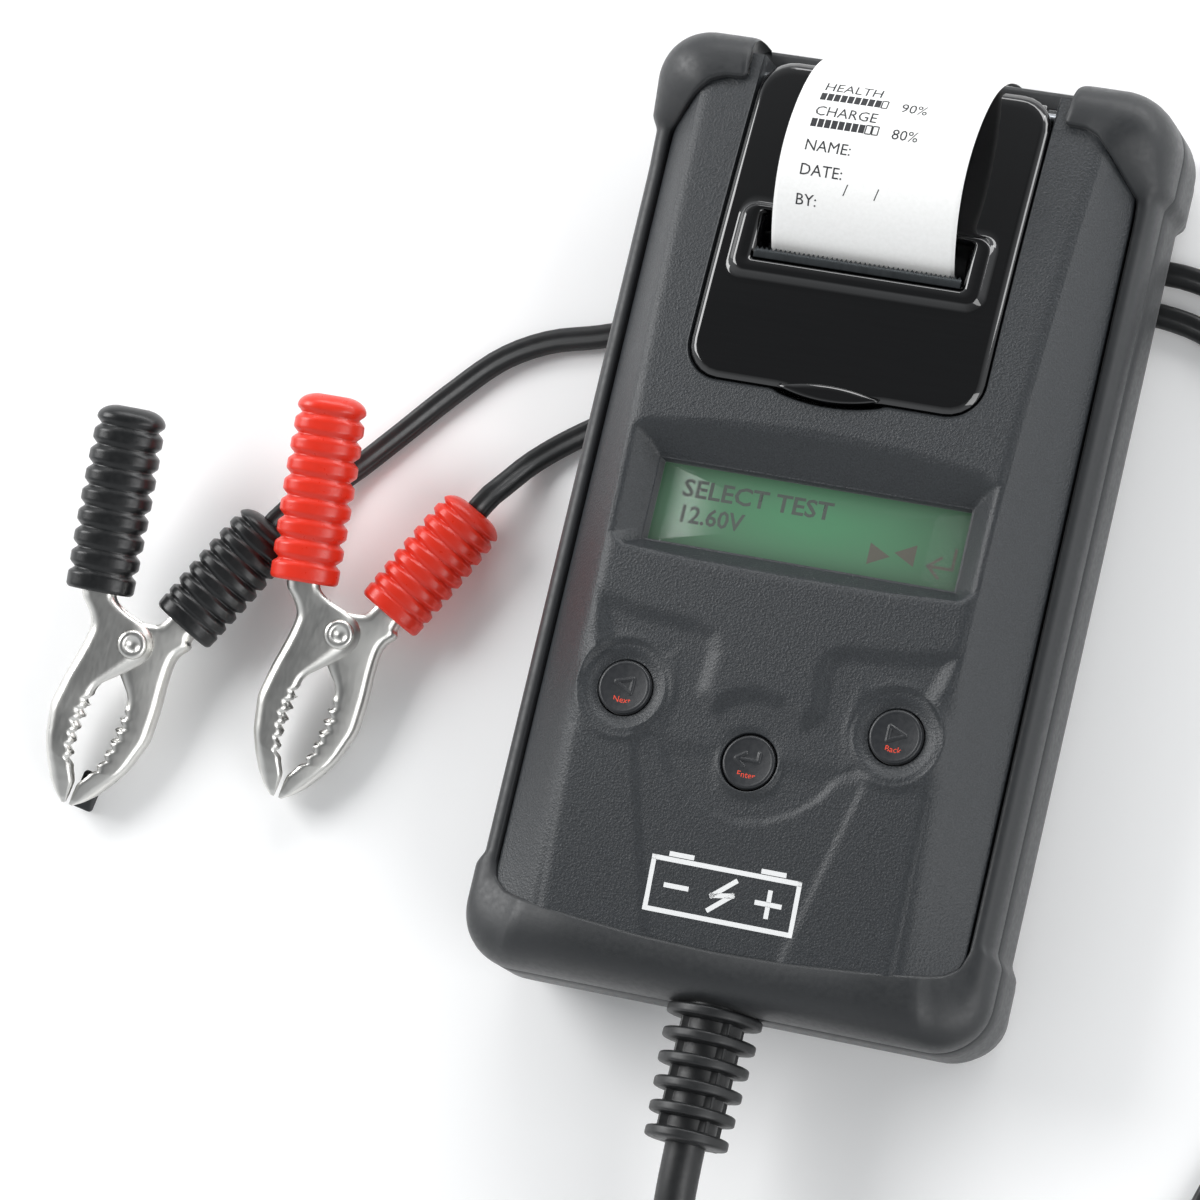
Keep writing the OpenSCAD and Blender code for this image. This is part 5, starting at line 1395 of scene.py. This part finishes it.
def grip_mesh(half):
    """Rings along the grip: a collar at the jaw, nine soft ribs that are deeper at the two
    sides, and a rounded end. The section is a superellipse, wider than it is thick."""
    base, lean, width, grip_l, mirror = halves[half]
    c, s = np.cos(np.radians(lean)), np.sin(np.radians(lean))
    start = 1.3
    along = np.linspace(start, grip_l, 190)
    turn = np.linspace(0, 2 * np.pi, 56, endpoint=False)
    step = (grip_l - start) / 9
    phase = ((along - start) / step) % 1
    rib = smooth_step(np.clip(1 - np.abs(phase - 0.5) * 2.5 + 0.45, 0, 1))
    ribs_on = smooth_step((along - start - 2.6) / 1.2) * smooth_step((grip_l - 1.6 - along) / 1.0)
    end = np.sqrt(np.clip(1 - np.clip((along - grip_l + 2.8) / 2.85, 0, 1) ** 2, 0.0, 1))
    mouth = np.sqrt(np.clip(1 - np.clip((start + 0.9 - along) / 0.95, 0, 1) ** 2, 0.0, 1))
    full = (0.35 + 0.65 * end) * (0.88 + 0.12 * mouth)
    swell = 1 + 0.045 * np.sin((along - start) / (grip_l - start) * np.pi)
    side = np.abs(np.cos(turn)) ** 0.8
    deep = 0.55 + 0.75 * side
    cut = (1 - rib)[:, None] * ribs_on[:, None] * deep[None]
    cc = np.sign(np.cos(turn)) * np.abs(np.cos(turn)) ** 0.78
    ss = np.sign(np.sin(turn)) * np.abs(np.sin(turn)) ** 0.78
    wide = (7.05 * swell * full)[:, None] - cut
    thick = (6.15 * swell * full)[:, None] - cut * 0.8
    u = wide * cc
    z = thick * ss
    x = base[0] + u * c - along[:, None] * s
    y = base[1] + u * s + along[:, None] * c
    points = np.stack([x * mirror, y, z], -1)
    caps = [points[0].mean(0), points[-1].mean(0)]
    first = np.repeat(caps[0][None, None], 56, 1)
    last = np.repeat(caps[1][None, None], 56, 1)
    mouth_in = points[:1] * 0.6 + first * 0.4
    end_in = points[-1:] * 0.5 + last * 0.5
    points = np.concatenate([first, mouth_in, points, end_in, last])
    faces = quads(len(points), 56, close_columns=True)
    return points.reshape(-1, 3), faces if mirror < 0 else faces[:, ::-1]


def toothed_mesh(mirror):
    """The contact strip inside a jaw: a bar whose inner edge is cut in teeth."""
    y = np.linspace(-27.8, -15.2, 41)
    tooth = np.abs(((-y / 2.52) % 1) * 2 - 1)
    rows = []
    for x, z in ((-7.8, -2.2), (-7.8, 2.2), (None, 2.2), (None, -2.2)):
        line = np.full(len(y), x) if x is not None else -4.9 + 1.7 * tooth
        rows.append(np.column_stack([line * mirror, y, np.full(len(y), z)]))
    points = np.stack(rows)
    faces = quads(4, len(y), close_rows=True)
    n = len(y)
    caps = np.array([[0, n, 2 * n, 3 * n], [n - 1, 4 * n - 1, 3 * n - 1, 2 * n - 1]])
    faces = np.vstack([faces, caps[:, ::-1]])
    return points.reshape(-1, 3), faces if mirror > 0 else faces[:, ::-1]


def rivet_mesh():
    """A hollow rivet: its barrel, and at each side a rolled head round a dimple."""
    profile = np.array([[0.01, -5.15], [1.0, -5.2], [1.5, -5.7], [2.2, -6.02], [2.85, -5.75],
        [3.1, -5.25], [3.0, -5.05], [1.8, -5.0], [1.8, 5.0], [3.0, 5.05], [3.1, 5.25],
        [2.85, 5.75], [2.2, 6.02], [1.5, 5.7], [1.0, 5.2], [0.01, 5.15]])
    turn = np.linspace(0, 2 * np.pi, 32, endpoint=False)
    x = profile[:, :1] * np.cos(turn)
    y = profile[:, :1] * np.sin(turn)
    z = np.broadcast_to(profile[:, 1:], x.shape)
    return np.stack([x, y, z], -1).reshape(-1, 3), quads(len(profile), 32, close_columns=True)


def spring_mesh():
    """Three turns of wire round the rivet, with an arm out to each half."""
    a = np.linspace(0, 6 * np.pi, 90)
    coil = np.stack([3.1 * np.cos(a), 3.1 * np.sin(a), -1.15 + 2.3 * a / a[-1]], 1)
    first = np.array([[4.2, 3.4, -1.15], [4.0, 1.5, -1.15]])
    last = np.array([[3.9, 1.6, 1.15], [4.3, 3.6, 1.15]])
    path = np.vstack([first, coil, last]) * [-1, 1, 1]
    points, faces = sock(path, 1.05, 1.05, 10)
    return points, faces


spring_steel = steel_of("clamp_spring_steel", "#9b9d9f", 0.30, (1, 1, 0.3))
grip_vinyl = {"black": soft_pvc("black_dipped_vinyl", "#161718", 0.34),
    "red": soft_pvc("red_dipped_vinyl", "#e2301b", 0.32)}
for colour in clamps:
    for half in halves:
        mirror = halves[half][4]
        rider = colour + "_long_half" if half == "long" else "tester"
        for label, made, material in (("jaw", jaw_mesh(half), nickel),
                ("grip", grip_mesh(half), grip_vinyl[colour]),
                ("teeth", toothed_mesh(mirror), nickel)):
            points, faces = made
            piece = skin("%s_clamp_%s_%s" % (colour, label, half), lay(points, colour), faces,
                material, smooth=label != "teeth")
            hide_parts("%s_%s_%s" % (colour, label, half))
            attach(piece, rider)
    for label, made, material in (("rivet", rivet_mesh(), nickel),
            ("spring", spring_mesh(), spring_steel)):
        piece = skin("%s_clamp_%s" % (colour, label), lay(made[0], colour), made[1], material)
        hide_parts("%s_%s" % (colour, label))
        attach(piece, "tester")
    if colour == "black":
        points, faces = rounded_plate(2.3, 4.0, -5.0, -3.85, 0.8, (2.9, -32.2))
        piece = skin("black_clamp_pad", lay(points / MM, colour), faces, boot_rubber)
        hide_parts("black_pad")
        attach(piece, "tester")
    path = lead_paths[colour]

# --- Shell, door and screws ------------------------------------------------------------------------
# The rear shell is fine-grained black ABS; the battery door clips into it, and four plated
# screws go in from the back.
def finish_nodes(material, *names):
    """Gives one material to parts that are shown as designed."""
    for name in names:
        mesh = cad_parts[name].data
        mesh.materials.clear()
        mesh.materials.append(material)
        mesh.polygons.foreach_set("material_index", np.zeros(len(mesh.polygons), np.int32))


finish_nodes(spark_abs("fine_black_abs", "#222426", 0.48, 0.25), "rear_case", "battery_door")
finish_nodes(steel_of("zinc_plated_steel", "#9c9fa3", 0.30, (1, 1, 1)), "case_screws",
    "lid_hinge_pin", "head_spring", "battery_contacts")

# --- Boards, keypad and wiring -----------------------------------------------------------------------
# Glass-epoxy boards under green solder mask, a grey silicone mat under the keys, and the
# cable's red cores to a green terminal block.
solder_mask, tree, shader = finish_of("green_solder_mask", Roughness=0.28, IOR=1.52)
where = add(tree, "ShaderNodeTexCoord").outputs["Object"]
weave = add(tree, "ShaderNodeTexVoronoi", {"Vector": where, "Scale": 420.0}, feature="F1")
tone = add(tree, "ShaderNodeValToRGB", {"Fac": weave.outputs["Distance"]})
tone.color_ramp.elements[0].color = linear("#1c6a3e")
tone.color_ramp.elements[1].color = linear("#11512c")
tree.links.new(tone.outputs["Color"], shader.inputs["Base Color"])
finish_nodes(solder_mask, "lcd_board", "main_board", "lead_connector")
finish_nodes(soft_pvc("grey_keypad_silicone", "#5a5d60", 0.5), "keypad_mat")
finish_nodes(soft_pvc("red_wire_insulation", "#b82c1f", 0.35), "inner_leads")
finish_nodes(steel_of("extruded_aluminium", "#b1b4b6", 0.34, (1, 0.02, 1)), "load_resistor", "motor")
finish_nodes(soft_pvc("blue_cell_sleeve", "#2a4a75", 0.25), "batteries")

# --- Printer works -------------------------------------------------------------------------------------
# A grey ABS chassis with acetal gears, a brass pinion, a rubber platen and a glazed head.
finish_nodes(spark_abs("grey_chassis_abs", "#4a4d50", 0.45, 0.25), "printer_chassis", "lcd_bezel")
finish_nodes(soft_pvc("white_acetal", "#e3e0d6", 0.35), "platen_gear", "idler_gear")
finish_nodes(steel_of("turned_brass", "#c49a45", 0.25, (0.1, 1, 1)), "motor_pinion")
finish_nodes(soft_pvc("platen_rubber", "#2a2b2d", 0.55), "platen_roller")
finish_nodes(soft_pvc("glazed_print_head", "#b9bcb6", 0.22), "print_head")
finish_nodes(thermal, "paper_roll", "paper_web")
